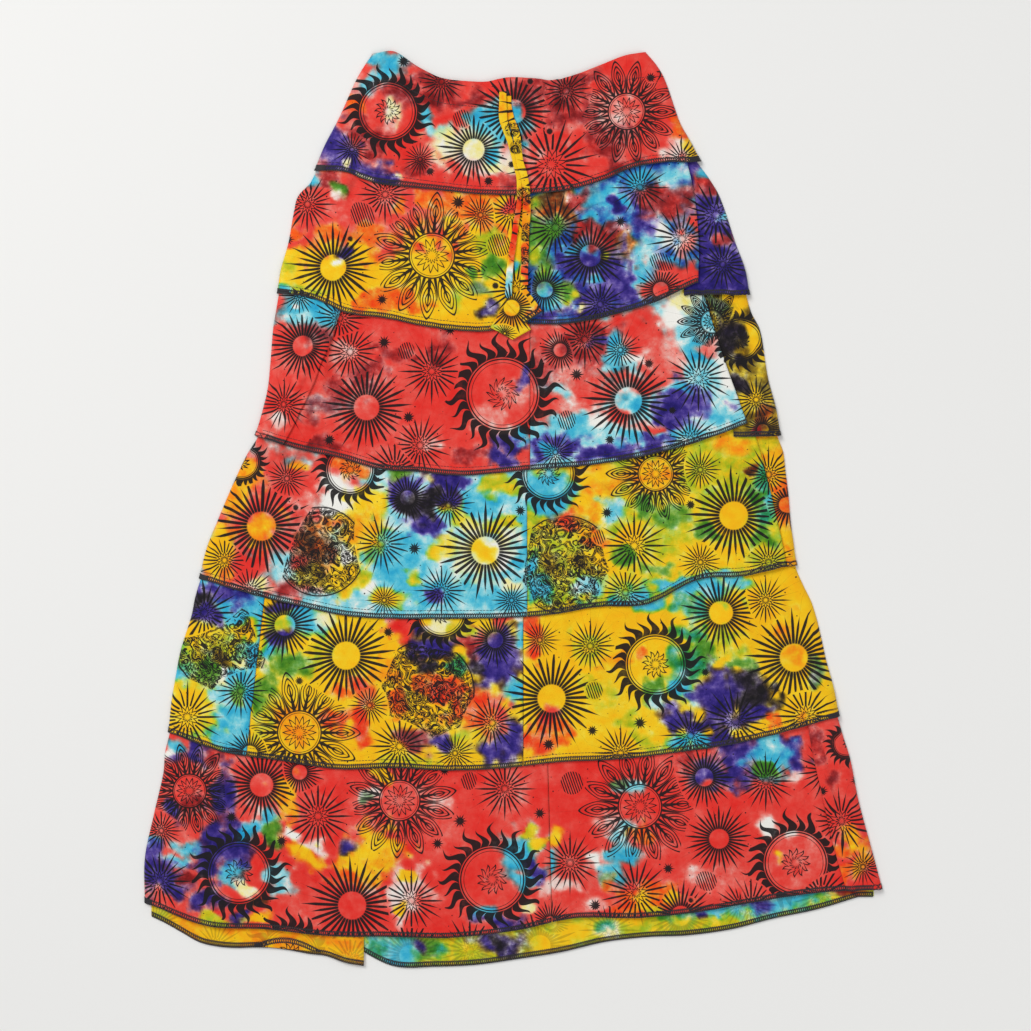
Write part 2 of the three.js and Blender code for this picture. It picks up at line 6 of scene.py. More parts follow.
import bpy
import numpy as np
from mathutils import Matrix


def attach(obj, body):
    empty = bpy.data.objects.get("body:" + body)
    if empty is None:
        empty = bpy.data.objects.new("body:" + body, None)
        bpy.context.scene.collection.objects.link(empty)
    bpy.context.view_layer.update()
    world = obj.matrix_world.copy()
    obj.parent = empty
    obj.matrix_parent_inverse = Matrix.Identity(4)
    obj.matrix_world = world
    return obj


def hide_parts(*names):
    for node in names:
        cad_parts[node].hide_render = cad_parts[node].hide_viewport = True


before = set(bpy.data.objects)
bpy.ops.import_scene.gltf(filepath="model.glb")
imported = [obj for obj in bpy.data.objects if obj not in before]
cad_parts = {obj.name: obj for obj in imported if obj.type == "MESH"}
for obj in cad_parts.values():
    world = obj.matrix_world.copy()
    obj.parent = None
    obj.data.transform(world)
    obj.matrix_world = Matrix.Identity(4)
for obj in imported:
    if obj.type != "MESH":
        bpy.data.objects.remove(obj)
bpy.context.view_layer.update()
metre = 0.001

cameraSet = {"frameWidth": 1062, "lens": 85, "sensor": 36, "centreX": 3, "centreY": -7}


# The camera looks straight down from where the lens takes in the frame's width.
def addCamera(row):
    data = bpy.data.cameras.new("camera")
    data.lens = row["lens"]
    data.sensor_width = row["sensor"]
    height = row["frameWidth"] * row["lens"] / row["sensor"]
    camera = bpy.data.objects.new("camera", data)
    camera.location = (row["centreX"] * metre, row["centreY"] * metre, height * metre)
    bpy.context.scene.collection.objects.link(camera)
    bpy.context.scene.camera = camera


addCamera(cameraSet)
print("camera in place")

# The garment's form, with the same driving sizes as its solids.
pitch = 1.8  # one cloth level above another
lap = 10  # how far a tier reaches down over the next one
tuck = 14  # how far a strip runs on below the fold beside it
frontHeight = 3.6  # inside of the front's solids above the surface
sideRoll = 7  # how far in from the side the front starts to bend down
backInset = 6  # the back ends this far inside the side folds
puff = 1.6  # how far each tier's middle stands above its seams
turnShare = 0.1  # share of a panel's width in u that its turn at a side fold takes
half = 0.2  # half the clear space between two panels that are sewn side by side
halfBack = 0.6  # and between two of the back's tiers
sideInset = 2.2  # the cloth's outside, not its inside, has the garment's width
riseStart = 0.58  # share of a tier's height where it starts to rise over the next one
riseEnd = 0.88  # and where it has risen
foldRamp = 45  # over what length a panel rises to a fold at its side
raisedFrom = 20  # a folded back panel lies a level up this near its fold
raisedTo = 46  # and on the surface this far from it

# The side folds of each tier: X and Y where it starts, X at 12.5, 25, 50 and 75 percent, and Y where
# it ends.
sideRows = {
    "left": [
        [-146, 467, -156, -164, -177, -191, 350],
        [-209, 336, -222, -226, -231, -236, 222],
        [-240, 222, -243, -246, -249, -253, 75],
        [-263, 75, -274, -283, -299, -313, -71],
        [-322, -71, -328, -332, -344, -350, -229],
        [-354, -229, -359, -361, -371, -380, -404],
    ],
    "right": [
        [138, 470, 150, 158, 168, 178, 356],
        [192, 356, 204, 214, 226, 236, 220],
        [242, 220, 247, 256, 262, 268, 75],
        [274, 75, 280, 282, 286, 288, -61],
        [293, -61, 301, 310, 320, 327, -213],
        [334, -213, 340, 347, 356, 368, -391],
    ],
}
hemCorners = {"left": [-380, -404], "right": [380, -391]}

# The front is laid out in squares of a frame over the skirt, counted across and down from the frame's
# upper left corner.
square = {"size": 1.03, "zeroX": 512.5, "zeroY": 508.5}

# The front's lower edges, from the waist down, as places along them in squares.
edgePlaces = {
    "waist": [
        [371, 55], [380, 51.6], [393, 51.6], [404, 54], [409, 60], [416, 66], [426, 73], [441, 78],
        [461, 81], [482, 82], [507, 78], [524, 78], [541, 80], [555, 80], [558, 82], [570, 77],
        [586, 70], [613, 61], [629, 53], [641, 50], [646, 52],
    ],
    "seam1": [
        [312, 171], [328, 169], [345, 172], [356, 178], [375, 183], [393, 185], [416, 188], [449, 192],
        [474, 194], [517, 195], [530, 194], [571, 190], [603, 180], [633, 168], [657, 160], [667, 163],
        [681, 166], [699, 163],
    ],
    "seam2": [
        [280, 293], [292, 293], [308, 296], [321, 302], [336, 310], [350, 314], [373, 316], [393, 320],
        [411, 322], [427, 327], [452, 330], [485, 331], [533, 322], [553, 324], [579, 323], [607, 315],
        [641, 308], [657, 301], [677, 291], [695, 283],
    ],
    "seam3": [
        [257, 436], [278, 444], [300, 449], [326, 454], [349, 460], [374, 468], [394, 471], [436, 472],
        [461, 475], [495, 473], [526, 469], [561, 467], [602, 463], [636, 457], [680, 447], [713, 436],
        [728, 429], [746, 423],
    ],
    "seam4": [
        [200, 577], [216, 582], [236, 589], [260, 595], [283, 600], [306, 606], [331, 613], [356, 616],
        [390, 617.5], [440, 618], [490, 617], [539, 616], [564, 611], [589, 607], [609, 605],
        [625, 608], [646, 603], [665, 599], [671, 591], [683, 582], [706, 577], [734, 575], [749, 575],
        [767, 568], [786, 563], [797, 562],
    ],
    "seam5": [
        [170, 731], [185, 739], [208, 747], [233, 753], [246, 757], [271, 759], [296, 761], [329, 767],
        [361, 770], [393, 766], [426, 769], [460, 769], [501, 767], [534, 761], [567, 760], [600, 760],
        [633, 756], [675, 751], [716, 747], [741, 740], [774, 732], [799, 727], [820, 719], [837, 715],
    ],
    "hemFront": [
        [145, 901], [196, 917], [215, 931], [239, 927], [263, 926], [279, 932], [304, 936], [364, 933],
        [410, 937], [460, 936], [503, 931], [526, 927], [547, 921], [576, 916], [620, 915], [656, 918],
        [700, 910], [727, 905], [763, 899], [816, 892], [834, 887], [847, 891], [852, 899], [875, 894],
        [881, 888],
    ],
}
edgeSteps = 12

# The other lower edges: both ends, and how far the edge dips below the line between them at each
# twelfth of its width.
plainEdges = {
    "strip2": {"left": [170, 219], "right": [242, 220], "dips": [0, -1, -1, 0, -1, -1, -1, -1, 0, 0, 0]},
    "strip3": {"left": [220, 74], "right": [275, 75], "dips": [0] * 11},
    "strip4": {"left": [270, -60], "right": [294, -58], "dips": [0] * 11},
    "shoulder2": {"left": [168, 352], "right": [204, 346], "dips": [0] * 11},
    "hemBackLeft": {"left": [-379, -416], "right": [-153, -470],
                    "dips": [4, 10, 16, 16, 13, 8, 4, 2, 1, -1, 1]},
    "hemBackRight": {"left": [-167, -448], "right": [356, -399],
                     "dips": [26, 31, 33, 31, 28, 22, 21, 23, 21, 14, 9]},
}

# Upright lines between two panels: X and Y at the top and at the foot, and the bow halfway.
joinRows = {
    "centre2": [15, 340, 15, 180, 0],
    "centre3": [18, 200, 18, 30, 0],
    "centre4": [15, 50, 15, -120, 0],
    "centre5": [11, -100, 11, -270, 0],
    "centre6": [36, -250, 41, -440, 0],
    "fold2": [177, 366, 190, 232, 6],
    "fold3": [190, 242, 241, 88, -2],
    "fold4": [243, 98, 281, -55, 2],
    "foldLeft3": [-174, 212, -236, 65, 5],
    "side5": [-255, -90, -274, -258, 0],
    "pleat6": [301, -200, 344, -394, -4],
    "backFold": [-153, -250, -153, -470, 0],
}

# The largest soft folds, which the solids have too: both ends, how high each stands, half its width.
foldRows = [
    [-150, 330, -182, 262, 2, 15],
    [62, 440, 34, 372, 1.8, 12],
    [-128, 420, -160, 372, 1.6, 15],
    [120, 305, 138, 238, 1.8, 14],
    [-196, 160, -222, 112, 1.4, 12],
    [-60, 150, -78, 74, 1.5, 16],
    [186, 52, 232, -8, 2, 15],
    [-222, 26, -246, -52, 1.8, 15],
    [84, -112, 98, -196, 2.4, 15],
    [-150, -134, -158, -222, 1.6, 16],
    [226, -96, 250, -176, 2, 16],
    [-216, -286, -236, -382, 2, 18],
    [32, -288, 40, -372, 1.8, 14],
    [-70, -300, -64, -392, 1.6, 18],
    [190, -286, 214, -366, 2, 18],
]

# Finer creases, listed one by one: both ends, the rise of a ridge or the depth of a trough, half its width.
creaseRows = [
    [46, 442, 42, 398, 1.7, 3], [38, 441, 30, 406, -1.2, 3], [56, 442, 60, 396, 1.5, 3],
    [30, 440, 18, 412, 1.1, 3], [66, 440, 78, 402, 1.2, 3.5], [50, 441, 50, 412, -1.2, 2.5],
    [-14, 440, -28, 408, 0.9, 4], [-40, 438, -52, 402, 0.8, 5], [-120, 452, -140, 404, 1.2, 6],
    [-88, 444, -104, 398, 0.9, 5], [118, 452, 140, 396, 1.3, 6], [132, 430, 158, 372, -1.0, 5],
    [96, 388, 150, 372, 0.9, 6], [-178, 388, -120, 366, 1.0, 6], [-168, 340, -183, 317, 1.4, 5],
    [-158, 342, -168, 312, -1.0, 4], [-120, 330, -128, 300, 0.9, 5], [-84, 326, -90, 292, 0.8, 5],
    [58, 320, 66, 282, 0.9, 5], [98, 326, 104, 296, 0.8, 5], [136, 336, 160, 262, 1.2, 6],
    [150, 330, 172, 276, -1.0, 5], [-226, 300, -170, 286, 0.8, 7], [-206, 250, -150, 226, 0.8, 6],
    [24, 214, 60, 204, 0.8, 5], [206, 330, 222, 252, 1.2, 6], [214, 300, 236, 232, -0.8, 5],
    [-190, 190, -196, 120, 1.2, 5], [-150, 176, -158, 136, 0.9, 5], [-100, 170, -112, 130, 0.8, 6],
    [-20, 166, -24, 120, 0.8, 5], [64, 172, 72, 132, 0.9, 6], [110, 180, 124, 128, 0.9, 6],
    [170, 210, 196, 132, 1.3, 6], [150, 200, 168, 150, -0.9, 5], [226, 200, 252, 120, 1.1, 6],
    [-230, 120, -180, 62, 0.9, 6], [-256, 40, -262, -14, 1.1, 5], [-196, 44, -206, 0, 0.9, 6],
    [-130, 36, -138, -14, 0.8, 6], [-66, 30, -76, -20, 0.9, 6], [20, 28, 24, -30, 0.8, 5],
    [90, 34, 100, -10, 0.8, 6], [150, 50, 176, -6, 1.2, 7], [200, 70, 250, 10, 1.1, 6],
    [236, 50, 264, -20, -0.9, 6], [-300, -90, -306, -140, 0.9, 6], [-288, -170, -256, -222, 1.0, 6],
    [-200, -120, -208, -180, 0.9, 7], [-100, -120, -110, -168, 0.8, 6], [-30, -120, -36, -170, 0.8, 6],
    [76, -100, 90, -180, 1.2, 6], [60, -116, 66, -160, -0.8, 5], [150, -98, 160, -150, 0.9, 6],
    [210, -74, 236, -140, 1.1, 6], [270, -84, 290, -150, 1.0, 6], [300, -120, 316, -196, 1.1, 6],
    [-330, -260, -344, -330, 1.2, 7], [-300, -256, -306, -310, 0.9, 6], [-246, -262, -252, -330, 1.0, 6],
    [-180, -274, -186, -330, 0.9, 7], [-120, -276, -124, -326, 0.8, 6], [-20, -276, -22, -330, 0.9, 6],
    [90, -270, 98, -330, 0.9, 6], [150, -262, 166, -330, 1.0, 7], [240, -240, 268, -320, 1.1, 7],
    [300, -250, 326, -330, 1.0, 6], [306, -214, 350, -390, 1.1, 3.5], [297, -214, 340, -390, -0.6, 4],
    [-186, 204, -240, 84, 0.9, 3.5], [-340, -390, -250, -404, 0.8, 6], [-60, -420, 20, -426, 0.7, 6],
    [180, -400, 260, -396, 0.8, 6],
]
seamPucker = {"height": 0.6, "reach": 12, "wave": 9, "lean": 0.4, "stretch": 0.35}
unevenness = {"height": 0.95, "wave": 44, "fineHeight": 0.5, "fineWave": 15, "bend": 7, "bendWave": 40}
creaseHeight = 2.6  # what a crease's rise is multiplied by
deepest = -1.4  # no crease or pucker goes further down
foldsFrom = 60  # folds and puff have their full height this far from a side fold
creasesFrom = [2, 22]  # creases start and are full this far from it
taperedEnd = 0.25  # a crease's height at its ends, as a share of its middle's
backSwell = {"height": 0.28, "wave": 34, "reach": 12}
latticeSize = 64
slopeStep = 1e-3


def mix(a, b, t):
    return a + (b - a) * t


def ease(a, b, s):  # 0 up to a, 1 from b on, and a smooth step between them
    t = np.clip((s - a) / (b - a), 0, 1)
    return t * t * (3 - 2 * t)


# A cubic through the rows [along, value], whose slope at each is that between its two neighbours.
def smoothThrough(rows):
    at, value = np.array(rows, float).T
    count = len(at)
    before = np.maximum(np.arange(count) - 1, 0)
    after = np.minimum(np.arange(count) + 1, count - 1)
    slope = (value[after] - value[before]) / (at[after] - at[before])

    def curve(along):
        s = np.clip(along, at[0], at[-1])
        i = np.clip(np.searchsorted(at, s) - 1, 0, count - 2)
        width = at[i + 1] - at[i]
        t = (s - at[i]) / width
        start = (2 * t**3 - 3 * t**2 + 1) * value[i] + (t**3 - 2 * t**2 + t) * width * slope[i]
        end = (3 * t**2 - 2 * t**3) * value[i + 1] + (t**3 - t**2) * width * slope[i + 1]
        return start + end

    return curve


# Value noise from -1 to 1: seeded random numbers on a square lattice, mixed by a smooth step.
def cloud(x, y, wave, seed):
    size = latticeSize
    lattice = np.random.default_rng(seed).uniform(-1, 1, (size, size))
    across, up = x / wave, y / wave
    i, j = np.floor(across).astype(int), np.floor(up).astype(int)
    s, t = ease(0, 1, across - i), ease(0, 1, up - j)
    low = mix(lattice[i % size, j % size], lattice[(i + 1) % size, j % size], s)
    high = mix(lattice[i % size, (j + 1) % size], lattice[(i + 1) % size, (j + 1) % size], s)
    return mix(low, high, t)


def fromSquares(across, down):  # squares of the frame as X and Y
    return (across - square["zeroX"]) * square["size"], (square["zeroY"] - down) * square["size"]


def edgeRow(places):  # a row of places as both ends and dips, in whole millimetres
    x, y = fromSquares(*np.array(places, float).T)
    shares = np.linspace(0, 1, edgeSteps + 1)
    dips = mix(y[0], y[-1], shares) - np.interp(mix(x[0], x[-1], shares), x, y)
    left, right = [round(x[0]), round(y[0])], [round(x[-1]), round(y[-1])]
    return {"left": left, "right": right, "dips": [round(dip) for dip in dips[1:-1]]}


def sideCurve(side):  # a side fold's X as a function of Y
    points = []
    for startX, startY, at12, at25, at50, at75, endY in sideRows[side]:
        shares = [0, 0.125, 0.25, 0.5, 0.75]
        points += [[mix(startY, endY, s), x] for s, x in zip(shares, [startX, at12, at25, at50, at75])]
    x, y = hemCorners[side]
    return smoothThrough((points + [[y, x]])[::-1])


def edgeCurve(row):  # a lower edge's Y as a function of X
    (x1, y1), (x2, y2) = row["left"], row["right"]
    dips = [0, *row["dips"], 0]
    shares = np.linspace(0, 1, len(dips))
    return smoothThrough([[mix(x1, x2, s), mix(y1, y2, s) - dip] for s, dip in zip(shares, dips)])


outline = {side: sideCurve(side) for side in sideRows}
edgeRows = {name: edgeRow(places) for name, places in edgePlaces.items()} | plainEdges
edges = {name: edgeCurve(row) for name, row in edgeRows.items()}
tierEdges = ["waist", "seam1", "seam2", "seam3", "seam4", "seam5", "hemFront"]


def joinX(name, y, shift):  # X of an upright line at a height, moved by shift
    topX, topY, footX, footY, bow = joinRows[name]
    t = np.clip((topY - y) / (topY - footY), 0, 1)
    return mix(topX, footX, t) + 4 * bow * t * (1 - t) + shift


# A soft ridge or trough along a line: a bell curve of the distance from it, highest halfway along.
def ridges(x, y, rows, tapered):
    height = np.zeros_like(x)
    for x1, y1, x2, y2, rise, halfWidth in rows:
        length2 = (x2 - x1) ** 2 + (y2 - y1) ** 2
        along = np.clip(((x - x1) * (x2 - x1) + (y - y1) * (y2 - y1)) / length2, 0, 1)
        away = np.hypot(x - mix(x1, x2, along), y - mix(y1, y2, along))
        bell = np.exp(-((away / halfWidth) ** 2))
        middle = taperedEnd + (1 - taperedEnd) * np.sin(np.pi * along)
        height += rise * bell * (middle if tapered else 1)
    return height


# How far the front stands above frontHeight: each tier's puff and folds, which die out at its
# seams, and over them the finer creases, the puckers along the seams and the cloth's unevenness.
def relief(x, y):
    lines = np.stack([edges[name](x) for name in tierEdges])
    below = np.clip((y[None] <= lines).sum(axis=0), 1, len(tierEdges) - 1)
    top = np.take_along_axis(lines, below[None] - 1, 0)[0]
    foot = np.take_along_axis(lines, below[None], 0)[0]
    down = np.clip((top - y) / (top - foot), 0, 1)
    inside = np.minimum(x - outline["left"](y), outline["right"](y) - x)
    calm = np.sin(np.pi * down) ** 2 * ease(0, foldsFrom, inside)
    still = ease(*creasesFrom, inside)
    reach = seamPucker["reach"]
    nearSeam = sum(np.exp(-(((y - line) / reach) ** 2)) for line in lines)
    leaning = cloud(x + seamPucker["lean"] * y, y * seamPucker["stretch"], seamPucker["wave"], 3)
    puckers = seamPucker["height"] * nearSeam * leaning
    uneven = unevenness["height"] * cloud(x, y, unevenness["wave"], 5)
    bent = x + unevenness["bend"] * cloud(x, y, unevenness["bendWave"], 6)
    uneven += unevenness["fineHeight"] * cloud(bent, y, unevenness["fineWave"], 7)
    fine = creaseHeight * ridges(x, y, creaseRows, True) + puckers + uneven
    return calm * (puff + ridges(x, y, foldRows, False)) + still * np.maximum(fine, deepest)


def turnsDown(piece, side):  # whether a piece is bent down along that side
    return piece["front"] and piece[side] == "side"


def distanceAcross(piece, u, width):  # a turn at a side fold is always sideRoll wide
    start = turnShare if turnsDown(piece, "left") else 0
    end = turnShare if turnsDown(piece, "right") else 0
    first = sideRoll if start else 0
    last = width - (sideRoll if end else 0)
    across = mix(first, last, (u - start) / (1 - start - end))
    if start:
        across = np.where(u < start, u / start * sideRoll, across)
    if end:
        across = np.where(1 - u < end, width - (1 - u) / end * sideRoll, across)
    return across


# Where shares u and v of a piece lie on the surface, v running from its top edge to its foot.
def placeFlat(piece, u, v):
    inset = sideInset if piece["front"] else sideInset + backInset
    limits = {}
    for side, away in (("left", 1), ("right", -1)):
        if piece[side] == "side":
            limits[side] = lambda y, side=side, away=away: outline[side](y) + away * inset
        else:
            limits[side] = lambda y, side=side: joinX(piece[side], y, piece[side + "Shift"])
    y = mix(edges[piece["top"]](0), edges[piece["foot"]](0), v) + 0 * u
    for turn in range(12):
        left, right = limits["left"](y), limits["right"](y)
        x = left + distanceAcross(piece, u, right - left)
        top = edges[piece["top"]](x) + piece["topLap"]
        y = mix(top, edges[piece["foot"]](x) + piece["footLap"], v)
    return x, y, x - limits["left"](y), limits["right"](y) - x


# A panel's inner surface. The front is flat at frontHeight plus relief, and at a side fold turns down
# along a quarter of an ellipse. The back lies on the surface, one level up beside a fold of its own.
def innerSurface(piece, u, v):
    x, y, fromLeft, fromRight = placeFlat(piece, u, v)
    if not piece["front"]:
        raised = pitch * (1 - ease(raisedFrom, raisedTo, fromRight)) if piece["raised"] else 0
        swell = backSwell["height"] * (1 + cloud(x, y, backSwell["wave"], 9))
        swell = swell * ease(0, backSwell["reach"], np.minimum(fromLeft, fromRight))
        return np.stack([x, y, raised + swell], -1), x, y, fromLeft, fromRight
    near = np.minimum(x - outline["left"](y), outline["right"](y) - x) - sideInset
    share = np.where(near < sideRoll, np.sqrt(np.maximum(1 - (1 - near / sideRoll) ** 2, 0)), 1)
    placed = x
    for side, away, move in (("left", fromLeft, 1), ("right", fromRight, -1)):
        if turnsDown(piece, side):
            turning = away < sideRoll
            angle = away / sideRoll * np.pi / 2
            turned = x + move * (sideRoll * (1 - np.cos(angle)) - away)
            placed = np.where(turning, turned, placed)
            share = np.where(turning, np.sin(angle), share)
    height = (frontHeight + relief(placed, y)) * share
    return np.stack([placed, y, height], -1), x, y, fromLeft, fromRight


# The cloth level of a front panel: below the tier above, over the tier below and over side strips.
def levelOf(piece, v, fromLeft, fromRight):
    atLeft = 1 - ease(piece["leftReach"], piece["leftReach"] + foldRamp, fromLeft)
    atRight = 1 - ease(piece["rightReach"], piece["rightReach"] + foldRamp, fromRight)
    ends = []
    for left, middle, right in (piece["topLevels"], piece["footLevels"]):
        ends.append(middle + (left - middle) * atLeft + (right - middle) * atRight)
    return mix(ends[0], ends[1], ease(riseStart, riseEnd, v))


# A panel's points moved out along its normal: by its level, and by how far into the cloth they are.
def raisedSurface(piece, u, v):  # the inner surface, and how far above it the panel's level is
    surface, x, y, fromLeft, fromRight = innerSurface(piece, u, v)
    level = levelOf(piece, v, fromLeft, fromRight) if piece["front"] else 0 * x
    return surface, level * pitch, x, y


def clothSurface(piece, u, v, depths):
    surface, rise, x, y = raisedSurface(piece, u, v)
    normal = np.cross(np.gradient(surface, axis=0), np.gradient(surface, axis=1))
    normal /= np.linalg.norm(normal, axis=-1, keepdims=True)
    return [surface + normal * (rise + depth)[..., None] for depth in depths], x, y


# Points anywhere on a panel's cloth and their normals, from the slopes across and down.
def onCloth(piece, u, v, depth):
    across = innerSurface(piece, u + slopeStep, v)[0] - innerSurface(piece, u - slopeStep, v)[0]
    down = innerSurface(piece, u, v + slopeStep)[0] - innerSurface(piece, u, v - slopeStep)[0]
    normal = np.cross(down, across)
    normal /= np.linalg.norm(normal, axis=-1, keepdims=True)
    surface, rise, _, _ = raisedSurface(piece, u, v)
    return surface + normal * (rise + depth)[..., None], normal


# Four-sided faces over a grid of rows and columns, turned so that they face up or down.
def gridFaces(rows, columns, first, up):
    a = first + (np.arange(rows - 1)[:, None] * columns + np.arange(columns - 1)).ravel()
    corners = [a, a + columns, a + columns + 1, a + 1]
    return np.stack(corners if up else corners[::-1], -1)


def rimFaces(rows, columns, far):  # the strip round a grid that joins it to the same grid at far
    top = np.arange(columns)
    foot = (rows - 1) * columns + top
    left = np.arange(rows) * columns
    strips = [top, (left + columns - 1), foot[::-1], left[::-1]]
    a = np.concatenate([s[:-1] for s in strips])
    b = np.concatenate([s[1:] for s in strips])
    return np.stack([a, a + far, b + far, b], -1)


def meshOf(name, points, quads, smooth, materials):  # a mesh of four-sided faces, riding the part
    mesh = bpy.data.meshes.new(name)
    mesh.vertices.add(len(points))
    mesh.vertices.foreach_set("co", (points * metre).astype(np.float32).ravel())
    mesh.loops.add(quads.size)
    mesh.loops.foreach_set("vertex_index", quads.astype(np.int32).ravel())
    mesh.polygons.add(len(quads))
    mesh.polygons.foreach_set("loop_start", np.arange(0, quads.size, 4, dtype=np.int32))
    mesh.polygons.foreach_set("use_smooth", smooth)
    mesh.update(calc_edges=True)
    for material in materials:
        mesh.materials.append(material)
    thing = bpy.data.objects.new(name, mesh)
    bpy.context.scene.collection.objects.link(thing)
    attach(thing, "root")
    return thing


# A closed shell between two grids of the same size. Its outer faces have the first material.
def shell(name, inner, outer, materials):
    rows, columns = inner.shape[:2]
    far = rows * columns
    points = np.concatenate([inner.reshape(-1, 3), outer.reshape(-1, 3)])
    faces = [gridFaces(rows, columns, far, True), gridFaces(rows, columns, 0, False)]
    quads = [*faces, rimFaces(rows, columns, far)]
    smooth = np.repeat([True, True, False], [len(q) for q in quads])
    thing = meshOf(name, points, np.concatenate(quads), smooth, materials)
    inside = np.repeat([0, 1, 0], [len(q) for q in quads]).astype(np.int32)
    thing.data.polygons.foreach_set("material_index", inside)
    return thing


# Dye colours at full strength on the white cloth, and the baths that patches are dipped in, as the
# strength of each dye.
clothWhite = (238, 235, 226)
dyes = {
    "red": (228, 62, 52),
    "yellow": (243, 190, 10),
    "turquoise": (64, 178, 206),
    "indigo": (52, 36, 122),
    "wine": (112, 38, 48),
    "green": (76, 140, 50),
    "orange": (240, 96, 20),
    "black": (34, 28, 30),
    "grey": (112, 108, 112),
}
baths = {
    "red": {"red": 1},
    "pink": {"red": 0.4},
    "pinkWhite": {"red": 0.12},
    "wine": {"red": 0.65, "wine": 0.45},
    "greyWine": {"wine": 0.4, "grey": 0.25, "red": 0.3},
    "blue": {"turquoise": 0.85, "indigo": 0.45},
    "turquoise": {"turquoise": 1},
    "paleTurquoise": {"turquoise": 0.4},
    "teal": {"turquoise": 0.7, "green": 0.5},
    "indigo": {"indigo": 1},
    "indigoGrey": {"indigo": 0.45, "grey": 0.4},
    "orange": {"orange": 0.9, "yellow": 0.1},
    "orangeRed": {"orange": 0.55, "red": 0.5},
    "golden": {"yellow": 0.85, "orange": 0.22},
    "yellow": {"yellow": 1},
    "cream": {"yellow": 0.12},
    "lime": {"yellow": 0.8, "turquoise": 0.16},
    "green": {"green": 0.95, "yellow": 0.15},
    "greyGreen": {"green": 0.3, "grey": 0.4},
    "olive": {"yellow": 0.7, "black": 0.3},
    "brown": {"orange": 0.6, "black": 0.35},
    "black": {"black": 0.85, "indigo": 0.2},
    "white": {},
}
leastPatch = 4  # no patch has a smaller half width or height
edgeOfPatch = {"inside": 0.5, "outside": 1.3, "cleared": 1.5, "grow": 1.18, "warp": 8, "wave": 24,
               "fineWarp": 0.5, "fineWave": 0.38, "raggedTo": 1.2}
raggedness = [[0.4, 0.4, 15], [0.22, 0.24, 16]]  # strength, share of the patches' wave, and seed
unevenDye = [[0.22, 38, 17], [0.12, 12, 18]]  # strength, wave and seed
strewing = {"areaEach": 1500, "sizes": [8, 26]}

